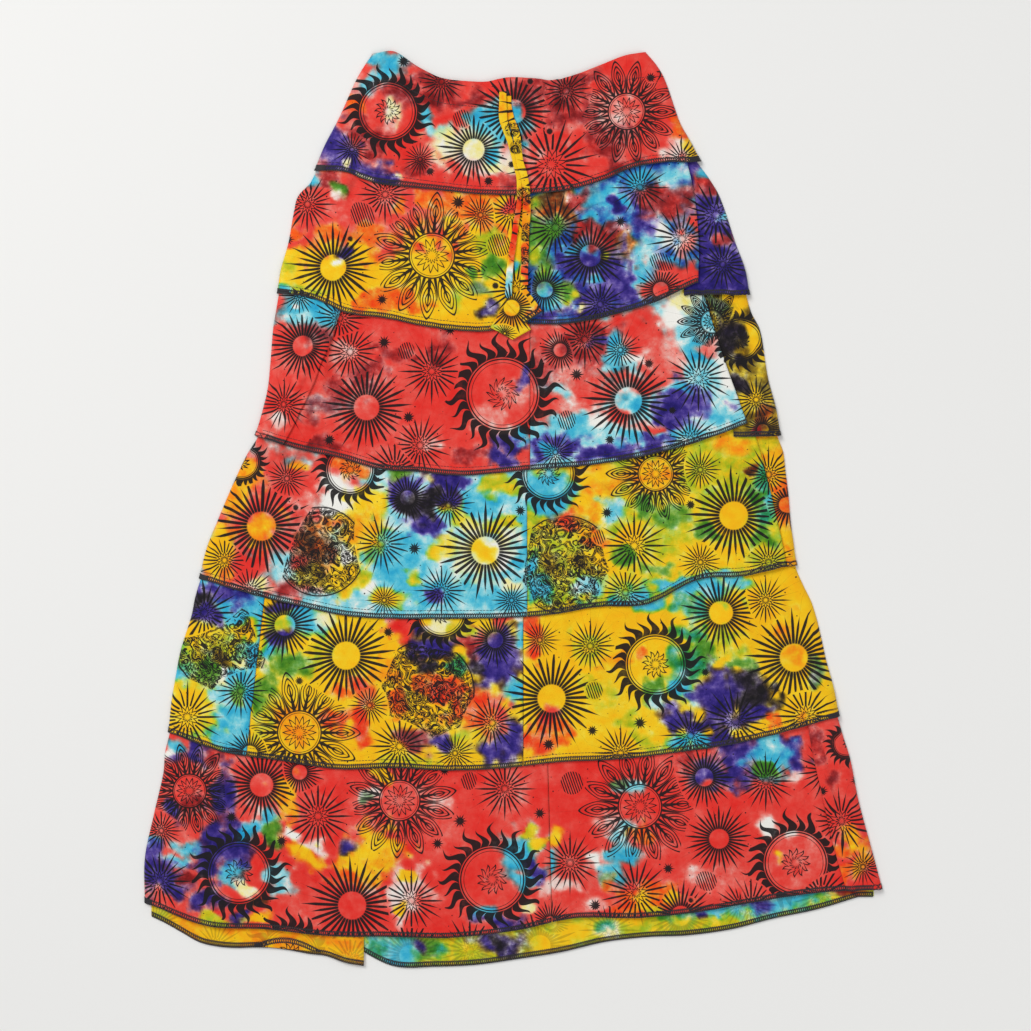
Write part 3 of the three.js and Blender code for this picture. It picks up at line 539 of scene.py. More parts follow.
# Each panel's ground and its patches. A row in squares is a bath and one or more patches in it: middle
# across and down, width and height. A row of the ties is in millimetres: bath, X, Y, half width and half
# height.
panelDyes = {
    "waistband_front": {"base": "red", "squares": [
        ["cream", [470, 146, 70, 40]], ["pinkWhite", [490, 160, 60, 26]],
        ["turquoise", [495, 128, 60, 34]], ["pink", [600, 120, 60, 40]],
        ["pinkWhite", [676, 152, 30, 26]], ["wine", [371, 55, 26, 10], [404, 62, 30, 10],
        [418, 80, 18, 14], [441, 93, 26, 14], [479, 104, 30, 10]], ["turquoise", [385, 72, 26, 26]],
        ["paleTurquoise", [372, 84, 14, 14]], ["pink", [356, 82, 10, 24]], ["orange", [354, 102, 12, 14]],
        ["wine", [425, 92, 70, 34], [368, 132, 40, 26]], ["cream", [396, 112, 18, 26]],
        ["pink", [391, 127, 14, 12]], ["wine", [358, 138, 18, 12], [372, 147, 16, 12]],
        ["indigo", [335, 150, 34, 36], [352, 170, 60, 28], [384, 180, 30, 16]],
        ["cream", [346, 163, 10, 8], [358, 172, 8, 8], [367, 179, 10, 6], [395, 179, 14, 6]],
        ["turquoise", [427, 122, 14, 20]], ["paleTurquoise", [433, 134, 14, 12]],
        ["cream", [458, 139, 26, 16], [478, 153, 28, 18], [497, 164, 26, 14]],
        ["turquoise", [497, 155, 14, 10], [483, 122, 22, 16], [500, 131, 20, 16], [517, 118, 20, 20]],
        ["paleTurquoise", [508, 104, 20, 12]], ["wine", [416, 169, 26, 14], [508, 180, 22, 12],
        [533, 104, 22, 22], [540, 90, 40, 24], [566, 108, 34, 44], [592, 78, 30, 16], [576, 90, 20, 18],
        [602, 139, 34, 26], [628, 134, 18, 16], [611, 150, 22, 16], [614, 169, 24, 16],
        [640, 162, 16, 12]], ["orange", [672, 128, 12, 20]], ["yellow", [684, 132, 14, 34],
        [694, 152, 14, 26]], ["pinkWhite", [674, 148, 10, 14]], ["pink", [679, 158, 10, 10]],
    ]},
    "tier2_front_left": {"base": "yellow", "squares": [
        ["red", [360, 200, 190, 78], [300, 222, 50, 40], [420, 196, 60, 26]],
        ["orange", [470, 205, 50, 30]], ["turquoise", [315, 178, 22, 14]], ["wine", [334, 179, 14, 20]],
        ["green", [342, 187, 12, 12]], ["pinkWhite", [336, 192, 10, 8]], ["orange", [427, 198, 20, 16],
        [437, 211, 16, 16], [396, 206, 14, 16], [295, 228, 20, 14], [328, 234, 26, 14],
        [369, 235, 24, 14]], ["lime", [287, 266, 18, 14], [301, 286, 20, 12], [322, 293, 20, 8]],
        ["turquoise", [283, 288, 12, 10]], ["indigo", [343, 252, 12, 10]], ["white", [340, 262, 10, 8]],
        ["orange", [480, 226, 22, 18], [498, 234, 18, 14]], ["red", [508, 206, 12, 14]],
        ["lime", [486, 240, 22, 20]], ["green", [495, 262, 20, 20]], ["greyGreen", [478, 290, 20, 16]],
        ["indigoGrey", [491, 309, 20, 16]], ["golden", [503, 326, 14, 10]],
        ["turquoise", [515, 268, 10, 16]], ["green", [470, 275, 16, 18]], ["orange", [382, 300, 60, 26]],
        ["lime", [455, 296, 24, 20]],
    ]},
    "tier2_front_right": {"base": "blue", "squares": [
        ["brown", [556, 206, 44, 34]], ["lime", [538, 198, 12, 14]], ["red", [534, 209, 10, 12]],
        ["green", [540, 245, 26, 70]], ["lime", [537, 262, 12, 20]], ["wine", [584, 200, 26, 22]],
        ["turquoise", [608, 200, 34, 26], [590, 216, 20, 12]], ["wine", [602, 236, 44, 26],
        [580, 232, 20, 20]], ["brown", [628, 250, 22, 26]], ["indigo", [612, 206, 12, 10]],
        ["turquoise", [578, 247, 24, 12]], ["indigo", [588, 262, 44, 28]], ["black", [612, 284, 14, 12],
        [556, 314, 12, 8]], ["indigo", [620, 285, 50, 50], [590, 308, 60, 26]],
        ["turquoise", [548, 300, 26, 26]], ["green", [560, 292, 20, 26]], ["lime", [566, 301, 12, 10]],
        ["cream", [577, 312, 12, 10]], ["indigo", [548, 318, 26, 12]], ["turquoise", [600, 278, 16, 12]],
        ["lime", [607, 252, 8, 8]], ["indigo", [634, 200, 22, 44], [640, 225, 18, 24]],
        ["wine", [668, 204, 56, 40]], ["turquoise", [640, 178, 30, 16]],
        ["paleTurquoise", [680, 176, 30, 18]], ["indigo", [655, 236, 24, 18]],
        ["white", [666, 238, 26, 24]], ["paleTurquoise", [650, 262, 30, 36]],
        ["turquoise", [640, 280, 16, 26]], ["red", [680, 278, 50, 34], [660, 292, 40, 16]],
        ["pink", [690, 244, 16, 22]], ["red", [694, 224, 12, 14]], ["white", [680, 246, 12, 12]],
    ]},
    "tier2_side_right": {"base": "indigo", "squares": [
        ["wine", [704, 186, 18, 18]], ["paleTurquoise", [719, 211, 12, 10]],
        ["turquoise", [707, 179, 16, 10]], ["wine", [722, 240, 20, 20]], ["indigo", [730, 270, 30, 30]],
    ]},
    "tier3_side_left": {"base": "red", "squares": [
        ["turquoise", [312, 310, 66, 34]], ["paleTurquoise", [300, 320, 30, 16]],
        ["indigo", [335, 300, 20, 16]], ["red", [286, 342, 26, 22]], ["greyWine", [320, 337, 24, 16]],
        ["red", [280, 402, 30, 60]], ["pinkWhite", [276, 424, 14, 14]], ["white", [298, 306, 10, 8]],
    ]},
    "tier3_front_left": {"base": "red", "squares": [
        ["wine", [441, 349, 24, 28]], ["greyWine", [323, 407, 44, 20]], ["wine", [364, 380, 30, 24],
        [336, 390, 24, 22], [326, 445, 30, 14]], ["pink", [344, 351, 18, 16], [487, 418, 22, 20],
        [514, 391, 14, 20]], ["indigo", [524, 377, 12, 18], [509, 446, 26, 18]],
        ["turquoise", [517, 438, 18, 14]], ["pinkWhite", [503, 434, 18, 12]],
        ["wine", [395, 352, 30, 12]], ["indigo", [500, 458, 26, 10]], ["wine", [470, 452, 24, 12]],
        ["pink", [430, 440, 20, 10]],
    ]},
    "tier3_front_right": {"base": "paleTurquoise", "squares": [
        ["red", [560, 345, 84, 70], [600, 335, 60, 34], [645, 336, 50, 60]], ["wine", [541, 372, 30, 40],
        [590, 350, 34, 34], [596, 330, 40, 14]], ["indigo", [600, 342, 16, 14]],
        ["red", [545, 405, 50, 30]], ["pink", [585, 400, 50, 30]], ["red", [600, 385, 44, 30],
        [655, 370, 34, 34]], ["pink", [672, 350, 24, 30]], ["turquoise", [612, 352, 18, 34]],
        ["white", [627, 360, 20, 14]], ["turquoise", [640, 400, 26, 20]], ["red", [619, 412, 20, 16]],
        ["white", [600, 418, 20, 14], [676, 318, 22, 20]], ["cream", [690, 300, 26, 24]],
        ["turquoise", [703, 345, 24, 26]], ["white", [728, 371, 20, 40]], ["pink", [712, 345, 14, 16]],
        ["indigo", [684, 404, 54, 34], [669, 424, 24, 18], [561, 440, 44, 18], [602, 452, 50, 14],
        [653, 444, 26, 16], [538, 450, 20, 18]], ["turquoise", [577, 425, 30, 18], [546, 448, 16, 12],
        [625, 440, 30, 14], [690, 436, 30, 16], [720, 419, 30, 16]], ["red", [655, 430, 16, 10]],
        ["pink", [640, 424, 26, 12]], ["turquoise", [675, 389, 18, 12]], ["yellow", [694, 292, 14, 10]],
    ]},
    "tier3_side_right": {"base": "olive", "squares": [
        ["greyGreen", [720, 304, 20, 18]], ["yellow", [738, 298, 24, 18], [753, 326, 22, 22],
        [762, 346, 18, 24], [767, 366, 14, 24], [747, 397, 22, 24]], ["black", [723, 341, 32, 44],
        [742, 330, 18, 20]], ["olive", [740, 371, 26, 20]], ["black", [744, 360, 16, 14]],
        ["brown", [761, 420, 20, 22]], ["wine", [757, 430, 16, 10]], ["black", [736, 385, 18, 14]],
    ]},
    "tier4_front_left": {"base": "paleTurquoise", "squares": [
        ["red", [262, 500, 120, 120], [330, 478, 60, 60], [300, 560, 70, 60], [330, 520, 40, 30],
        [240, 570, 60, 40]], ["golden", [241, 480, 26, 44]], ["yellow", [222, 545, 28, 50]],
        ["golden", [262, 526, 30, 28]], ["pink", [306, 507, 16, 16]], ["white", [330, 490, 26, 30]],
        ["orange", [352, 472, 30, 16]], ["white", [345, 500, 30, 20]], ["golden", [300, 462, 20, 12]],
        ["yellow", [372, 508, 40, 36]], ["golden", [365, 538, 50, 44]], ["yellow", [340, 575, 50, 36]],
        ["white", [350, 560, 20, 16]], ["brown", [316, 540, 34, 34]], ["olive", [312, 570, 30, 24]],
        ["paleTurquoise", [284, 565, 24, 24]], ["wine", [286, 586, 24, 14]],
        ["cream", [262, 578, 16, 10]], ["pink", [246, 583, 20, 12]], ["turquoise", [400, 560, 50, 50],
        [470, 500, 60, 50], [430, 590, 80, 30], [505, 600, 40, 24], [395, 580, 40, 30]],
        ["lime", [432, 481, 20, 16], [450, 500, 26, 20], [462, 524, 30, 22]],
        ["yellow", [444, 552, 26, 20]], ["lime", [415, 575, 20, 12]], ["indigo", [402, 490, 22, 34],
        [440, 488, 36, 30], [425, 522, 34, 28]], ["black", [424, 505, 26, 26], [408, 498, 18, 18]],
        ["indigo", [455, 478, 24, 18]], ["lime", [500, 480, 30, 18]], ["cream", [485, 548, 56, 46]],
        ["yellow", [484, 551, 26, 26]], ["lime", [505, 520, 24, 18]], ["white", [505, 555, 18, 20]],
        ["turquoise", [520, 540, 14, 50]], ["indigo", [430, 594, 18, 14]], ["yellow", [389, 600, 30, 14]],
        ["white", [372, 590, 22, 16]], ["lime", [366, 579, 20, 14]], ["cream", [514, 584, 18, 12]],
        ["green", [400, 470, 20, 12]],
    ]},
    "tier4_front_right": {"base": "lime", "squares": [
        ["golden", [586, 498, 50, 80], [652, 478, 64, 44]], ["yellow", [700, 562, 80, 44],
        [615, 556, 70, 40], [690, 500, 40, 30]], ["turquoise", [762, 505, 30, 54], [540, 482, 60, 30]],
        ["lime", [733, 515, 46, 44], [560, 548, 50, 34]], ["turquoise", [540, 588, 26, 20]],
        ["paleTurquoise", [582, 587, 26, 16]], ["olive", [549, 557, 22, 18], [585, 568, 18, 18]],
        ["orangeRed", [562, 514, 22, 14]], ["turquoise", [548, 500, 36, 22], [578, 488, 24, 16]],
        ["yellow", [582, 502, 20, 16], [590, 479, 24, 14]], ["orange", [593, 534, 22, 16]],
        ["paleTurquoise", [610, 511, 22, 26]], ["yellow", [631, 538, 26, 26]],
        ["golden", [652, 480, 44, 30]], ["green", [671, 520, 28, 26], [645, 508, 24, 20]],
        ["lime", [673, 545, 26, 20], [706, 500, 28, 24]], ["yellow", [732, 516, 34, 32]],
        ["green", [706, 530, 22, 18]], ["lime", [700, 478, 30, 20]], ["yellow", [700, 562, 24, 18],
        [732, 550, 28, 16]], ["golden", [731, 442, 30, 14]], ["green", [757, 500, 22, 30]],
        ["teal", [764, 479, 16, 16], [768, 514, 14, 18]], ["brown", [749, 466, 12, 10]],
        ["cream", [768, 562, 12, 12]], ["green", [765, 540, 18, 18]], ["turquoise", [620, 602, 50, 12],
        [640, 594, 30, 12], [666, 586, 30, 12], [694, 581, 30, 10]],
        ["paleTurquoise", [723, 577, 26, 10]], ["green", [620, 560, 24, 18]],
        ["yellow", [600, 562, 20, 14]], ["green", [655, 570, 30, 14]], ["lime", [740, 478, 26, 16],
        [760, 556, 20, 16]], ["turquoise", [530, 560, 14, 30]],
    ]},
    "tier4_side_right": {"base": "golden", "squares": [
        ["lime", [773, 441, 18, 14]], ["orange", [785, 500, 16, 40]], ["yellow", [780, 470, 18, 24],
        [790, 540, 16, 20]],
    ]},
    "tier5_side_left": {"base": "turquoise", "squares": [
        ["indigo", [222, 592, 50, 24]], ["lime", [210, 650, 60, 60]], ["cream", [222, 672, 44, 34]],
        ["yellow", [190, 712, 50, 50]], ["cream", [216, 706, 30, 26]], ["black", [205, 602, 20, 16]],
        ["indigo", [196, 586, 20, 20]], ["turquoise", [262, 606, 26, 22]], ["yellow", [200, 632, 34, 24]],
        ["lime", [222, 647, 26, 20]], ["yellow", [246, 628, 22, 18]], ["white", [222, 670, 20, 16]],
        ["paleTurquoise", [222, 693, 26, 16]], ["turquoise", [232, 710, 26, 18], [237, 677, 20, 22]],
        ["yellow", [186, 700, 34, 36], [180, 728, 30, 20]], ["green", [240, 690, 14, 18]],
        ["turquoise", [228, 740, 40, 20]], ["indigo", [212, 616, 22, 14]], ["green", [205, 668, 24, 20]],
        ["olive", [225, 655, 20, 14]], ["yellow", [200, 745, 24, 12]],
    ]},
    "tier5_front_left": {"base": "yellow", "squares": [
        ["turquoise", [298, 620, 46, 26], [271, 646, 26, 20]], ["indigo", [284, 604, 26, 12],
        [279, 635, 18, 14]], ["lime", [276, 622, 16, 12]], ["green", [292, 660, 34, 22]],
        ["lime", [320, 650, 24, 20]], ["cream", [321, 618, 20, 14], [261, 663, 10, 14]],
        ["green", [262, 690, 20, 34]], ["lime", [268, 720, 24, 24]], ["orangeRed", [362, 688, 22, 24],
        [358, 720, 28, 34], [328, 720, 24, 22]], ["golden", [300, 725, 40, 40]],
        ["red", [404, 630, 34, 20]], ["pink", [390, 622, 16, 12]], ["indigo", [432, 646, 36, 24],
        [497, 658, 46, 54]], ["wine", [470, 640, 30, 26]], ["indigo", [513, 738, 26, 40],
        [491, 746, 26, 20]], ["black", [430, 664, 14, 12], [478, 664, 14, 12]],
        ["greyWine", [416, 742, 40, 22]], ["indigo", [440, 745, 22, 14]], ["teal", [452, 664, 18, 16]],
        ["orange", [424, 680, 24, 18]], ["orangeRed", [445, 688, 30, 22], [478, 712, 44, 34]],
        ["red", [500, 716, 18, 16], [498, 622, 20, 14]], ["cream", [440, 626, 18, 12]],
        ["white", [513, 624, 14, 12]], ["turquoise", [518, 643, 16, 18], [516, 693, 18, 22]],
        ["lime", [463, 631, 18, 12], [466, 739, 24, 16], [410, 761, 40, 8]],
        ["orange", [400, 700, 24, 20]], ["golden", [385, 670, 30, 24], [420, 722, 20, 14]],
        ["orange", [340, 690, 18, 18]],
    ]},
    "tier5_front_right": {"base": "yellow", "squares": [
        ["orangeRed", [533, 628, 20, 22], [532, 654, 16, 22]], ["red", [545, 715, 22, 24]],
        ["orangeRed", [538, 740, 30, 30]], ["orange", [560, 735, 24, 20]], ["lime", [587, 647, 26, 26],
        [600, 687, 26, 22], [719, 643, 22, 16], [729, 632, 18, 14], [741, 661, 20, 18],
        [641, 740, 26, 18], [630, 718, 22, 16]], ["turquoise", [700, 588, 72, 22], [736, 584, 20, 12]],
        ["paleTurquoise", [703, 593, 16, 10]], ["turquoise", [655, 602, 30, 16]],
        ["teal", [686, 608, 20, 14], [698, 612, 20, 14], [693, 636, 26, 18], [690, 668, 30, 30]],
        ["turquoise", [683, 690, 30, 20]], ["green", [706, 652, 22, 24]], ["golden", [783, 628, 22, 18],
        [792, 656, 26, 26], [808, 719, 20, 22]], ["black", [749, 693, 44, 44]],
        ["indigo", [713, 697, 32, 42], [691, 723, 26, 20], [671, 714, 22, 22], [723, 740, 26, 18],
        [752, 712, 36, 18]], ["turquoise", [675, 740, 26, 18], [700, 742, 22, 14]],
        ["green", [655, 690, 22, 20]], ["greyGreen", [815, 674, 12, 30]], ["orange", [640, 655, 16, 14]],
        ["golden", [620, 660, 24, 20]], ["green", [740, 668, 24, 16]],
        ["paleTurquoise", [662, 700, 14, 12]], ["orange", [770, 720, 16, 14]],
    ]},
    "tier6_front_left": {"base": "red", "squares": [
        ["turquoise", [171, 745, 16, 12]], ["white", [168, 752, 12, 8]], ["red", [183, 771, 28, 20],
        [238, 764, 30, 20], [172, 830, 20, 14], [163, 843, 14, 10], [263, 795, 20, 30]],
        ["indigo", [194, 752, 30, 22]], ["wine", [207, 754, 20, 18]], ["indigo", [223, 797, 28, 50]],
        ["wine", [200, 800, 20, 20]], ["indigo", [176, 811, 22, 14]], ["turquoise", [154, 846, 16, 14],
        [187, 844, 24, 16], [173, 858, 20, 14], [230, 871, 28, 22], [268, 821, 18, 22]],
        ["indigo", [154, 868, 30, 36], [226, 844, 48, 38], [205, 862, 24, 22], [210, 897, 30, 20],
        [176, 884, 34, 24]], ["wine", [191, 877, 16, 14]], ["cream", [249, 888, 18, 16]],
        ["brown", [258, 906, 12, 8]], ["indigo", [243, 913, 20, 10]], ["lime", [220, 922, 34, 10]],
        ["yellow", [262, 921, 20, 10]], ["paleTurquoise", [276, 871, 22, 18], [279, 889, 20, 14]],
        ["green", [279, 834, 14, 20]], ["golden", [289, 797, 18, 42]], ["pinkWhite", [256, 814, 14, 18]],
        ["turquoise", [250, 835, 20, 16]], ["red", [312, 780, 20, 20], [322, 813, 22, 24],
        [312, 905, 30, 20], [362, 897, 24, 16]], ["white", [297, 831, 14, 12]],
        ["pinkWhite", [312, 844, 18, 14]], ["pink", [370, 885, 16, 12]], ["yellow", [309, 860, 22, 18],
        [297, 849, 16, 14], [368, 856, 62, 48]], ["golden", [378, 862, 24, 20]],
        ["indigo", [345, 842, 20, 14]], ["orange", [352, 880, 26, 14]], ["pinkWhite", [374, 797, 18, 16]],
        ["greyGreen", [366, 802, 14, 12]], ["pinkWhite", [406, 889, 34, 44]],
        ["yellow", [410, 876, 12, 12], [402, 904, 10, 10]], ["turquoise", [522, 850, 40, 38]],
        ["indigo", [535, 867, 18, 20]], ["turquoise", [519, 875, 26, 18]], ["indigo", [500, 922, 40, 18]],
        ["turquoise", [487, 915, 20, 14]], ["cream", [526, 903, 20, 14]],
        ["pinkWhite", [548, 884, 18, 16]], ["yellow", [539, 839, 14, 14]], ["lime", [530, 828, 16, 10]],
        ["yellow", [385, 775, 18, 16]], ["pink", [440, 800, 20, 16]],
    ]},
    "tier6_front_right": {"base": "red", "squares": [
        ["pinkWhite", [560, 883, 22, 16]], ["yellow", [552, 838, 12, 16]],
        ["turquoise", [552, 856, 14, 22]], ["white", [597, 860, 22, 20]],
        ["turquoise", [612, 874, 30, 22], [624, 854, 22, 16]], ["greyGreen", [606, 880, 16, 12]],
        ["paleTurquoise", [628, 789, 24, 16]], ["greyGreen", [618, 782, 14, 12]],
        ["paleTurquoise", [625, 831, 26, 18]], ["orange", [645, 836, 14, 14], [644, 897, 64, 28]],
        ["yellow", [640, 899, 30, 16], [676, 897, 16, 12]], ["lime", [655, 908, 26, 8]],
        ["indigo", [706, 769, 34, 24]], ["wine", [690, 760, 24, 16]], ["indigo", [743, 756, 46, 52],
        [787, 748, 24, 30], [792, 764, 16, 18]], ["turquoise", [769, 753, 34, 50]],
        ["paleTurquoise", [776, 742, 16, 14]], ["green", [765, 772, 18, 14]],
        ["white", [764, 829, 14, 12], [786, 833, 12, 10]], ["pinkWhite", [794, 775, 12, 20]],
        ["pink", [610, 820, 22, 18], [700, 870, 20, 14], [590, 900, 20, 12]],
        ["yellow", [770, 858, 12, 10]],
    ]},
    "tier6_pleat_right": {"base": "red", "squares": [
        ["wine", [812, 741, 20, 22]], ["indigo", [800, 736, 14, 14]], ["orange", [808, 810, 16, 14],
        [837, 850, 16, 16], [841, 874, 18, 16]], ["golden", [846, 842, 12, 28], [856, 862, 14, 24]],
        ["wine", [828, 780, 12, 16]],
    ]},
    "tier6_back_left": {"base": "golden", "squares": [
        ["yellow", [147, 907, 20, 16]], ["lime", [160, 914, 16, 8]], ["yellow", [220, 936, 40, 12],
        [320, 950, 40, 12]],
    ]},
    "tier6_back_right": {"base": "lime", "squares": [
        ["turquoise", [385, 950, 60, 40], [730, 900, 120, 30], [800, 892, 60, 24]],
        ["teal", [377, 947, 26, 20]], ["turquoise", [401, 957, 26, 18]], ["green", [426, 952, 28, 18]],
        ["lime", [451, 948, 26, 20], [474, 952, 26, 18]], ["indigoGrey", [502, 946, 40, 24]],
        ["yellow", [551, 944, 36, 22], [577, 930, 34, 18], [634, 915, 34, 20]],
        ["cream", [601, 932, 22, 16]], ["lime", [656, 914, 24, 18]], ["teal", [680, 912, 30, 18]],
        ["turquoise", [716, 905, 32, 18]], ["indigo", [753, 898, 30, 18]],
        ["turquoise", [787, 891, 30, 16]], ["indigoGrey", [815, 888, 22, 14]],
        ["wine", [846, 884, 30, 16]], ["indigo", [494, 949, 20, 14]], ["black", [500, 946, 16, 12]],
        ["indigo", [416, 950, 10, 12]], ["teal", [600, 926, 14, 8]], ["indigo", [700, 910, 12, 10],
        [735, 904, 12, 8]], ["teal", [440, 956, 14, 10]],
    ]},
    "waistband_back": {"base": "red",
                       "strewn": ["wine", "pink", "turquoise", "indigo", "cream", "orange"]},
    "tier2_back": {"base": "turquoise",
                   "strewn": ["indigo", "wine", "paleTurquoise", "lime", "red", "white"]},
    "tier3_back": {"base": "red",
                   "strewn": ["wine", "pink", "orange", "turquoise", "indigo", "pinkWhite"]},
    "tier4_back": {"base": "lime",
                   "strewn": ["green", "turquoise", "yellow", "orange", "indigo", "cream"]},
    "tier5_back": {"base": "yellow",
                   "strewn": ["orangeRed", "lime", "golden", "turquoise", "indigo", "green"]},
    "tie_long": {"base": "yellow", "patches": [
        ["orangeRed", 5, 306, 9, 16], ["orangeRed", 1, 272, 9, 22], ["white", -3, 243, 8, 8],
        ["paleTurquoise", -4, 226, 8, 14], ["golden", -10, 410, 7, 10],
    ]},
    "tie_short": {"base": "yellow", "patches": [
        ["orange", 14, 312, 9, 14], ["golden", 14, 290, 8, 14], ["orange", 13, 262, 8, 10],
        ["orangeRed", 12, 237, 8, 12], ["golden", 2, 398, 7, 10],
    ]},
    "tie_tip_lower": {"base": "yellow", "patches": [["golden", 4, 200, 14, 10], ["lime", -12, 188, 8, 6]]},
    "tie_tip_upper": {"base": "yellow", "patches": [["golden", 14, 222, 10, 8], ["orange", 24, 204, 7, 6]]},
}


# How much of each dye the cloth holds. A patch takes out what was there a little further than it
# dyes, which leaves paler cloth between two colours, and its edge wanders with the cloud noise.
def dyeAmounts(x, y, name):
    row = panelDyes[name]
    amounts = np.zeros((len(dyes),) + x.shape)
    order = list(dyes)
    for dye, strength in baths[row["base"]].items():
        amounts[order.index(dye)] = strength
    runs = row.get("squares", [])
    patches = row.get("patches", []) + [patchRow(bath, *each) for bath, *run in runs for each in run]
    if "strewn" in row:
        patches = strewnPatches(row["strewn"], x, y, len(name) + len(row["base"]))
    wave, warp = edgeOfPatch["wave"], edgeOfPatch["warp"]
    fineWarp, fineWave = edgeOfPatch["fineWarp"] * warp, wave * edgeOfPatch["fineWave"]
    movedX = x + warp * cloud(x, y, wave, 11) + fineWarp * cloud(x, y, fineWave, 12)
    movedY = y + warp * cloud(x, y, wave, 13) + fineWarp * cloud(x, y, fineWave, 14)
    ragged = sum(strength * cloud(x, y, wave * share, seed) for strength, share, seed in raggedness)
    for bath, atX, atY, halfWidth, halfHeight in patches:
        away = np.hypot((movedX - atX) / halfWidth, (movedY - atY) / halfHeight) / edgeOfPatch["grow"]
        away = away + ragged * np.clip(away, 0, edgeOfPatch["raggedTo"])
        dyed = 1 - ease(edgeOfPatch["inside"], edgeOfPatch["outside"], away)
        amounts *= ease(edgeOfPatch["inside"], edgeOfPatch["cleared"], away)
        for dye, strength in baths[bath].items():
            amounts[order.index(dye)] += strength * dyed
    uneven = 1
    for strength, wave, seed in unevenDye:
        uneven = uneven + strength * cloud(x, y, wave, seed)
    return amounts * uneven


def patchRow(bath, across, down, width, height):  # a patch in squares as one in millimetres
    atX, atY = fromSquares(across, down)
    halves = [max(leastPatch, round(size * square["size"] / 2)) for size in (width, height)]
    return [bath, round(atX), round(atY), *halves]


def strewnPatches(names, x, y, seed):  # seeded patches all over a hidden panel
    random = np.random.default_rng(seed)
    count = int(np.ptp(x) * np.ptp(y) / strewing["areaEach"])
    places = random.uniform([x.min(), y.min()], [x.max(), y.max()], (count, 2))
    sizes = random.uniform(*strewing["sizes"], (count, 2))
    chosen = random.integers(0, len(names), count)
    return [[names[c], *p, *s] for c, p, s in zip(chosen, places, sizes)]


# The print's motifs. Rays: how many long ones, and the share of the radius where they start. Stroke:
# the widest half width, how far a ray sways, and its width at the root. Rings: the radius shares of
# an outline, of a flower's petals and of the middle of a band of petals. Fill: hatching, 2 being
# solid, mottling, and how late a ray tapers to its point.
motifKinds = {
    "burst": {"rays": 17, "inner": 0.26, "stroke": [1.42, 0, 0.75], "rings": [0, 0, 0], "fill": [0, 0, 2.6]},
    "bloom": {"rays": 12, "inner": 0.28, "stroke": [1.3, 0, 0.8], "rings": [0, 0.24, 0], "fill": [0, 0, 2]},
    "star": {"rays": 6, "inner": 0.34, "stroke": [5, 0, 1], "rings": [0, 0, 0], "fill": [2, 0, 1]},
    "sun": {"rays": 12, "inner": 0.56, "stroke": [4, 3.2, 1], "rings": [0.54, 0.2, 0], "fill": [0, 0, 1.25]},
    "rosette": {"rays": 14, "inner": 0.4, "stroke": [1.5, 0, 1], "rings": [0.4, 0.24, 0.78],
                "fill": [0, 0, 1.2]},
    "hatch": {"rays": 3, "inner": 0.88, "stroke": [0, 0, 0], "rings": [0, 0, 0], "fill": [1, 0, 1]},
    "coral": {"rays": 3, "inner": 1, "stroke": [0, 0, 0], "rings": [0.97, 0, 0], "fill": [0, 1, 1]},
    "scrawl": {"rays": 3, "inner": 1, "stroke": [0, 0, 0], "rings": [0, 0, 0], "fill": [0, 1, 1]},
}

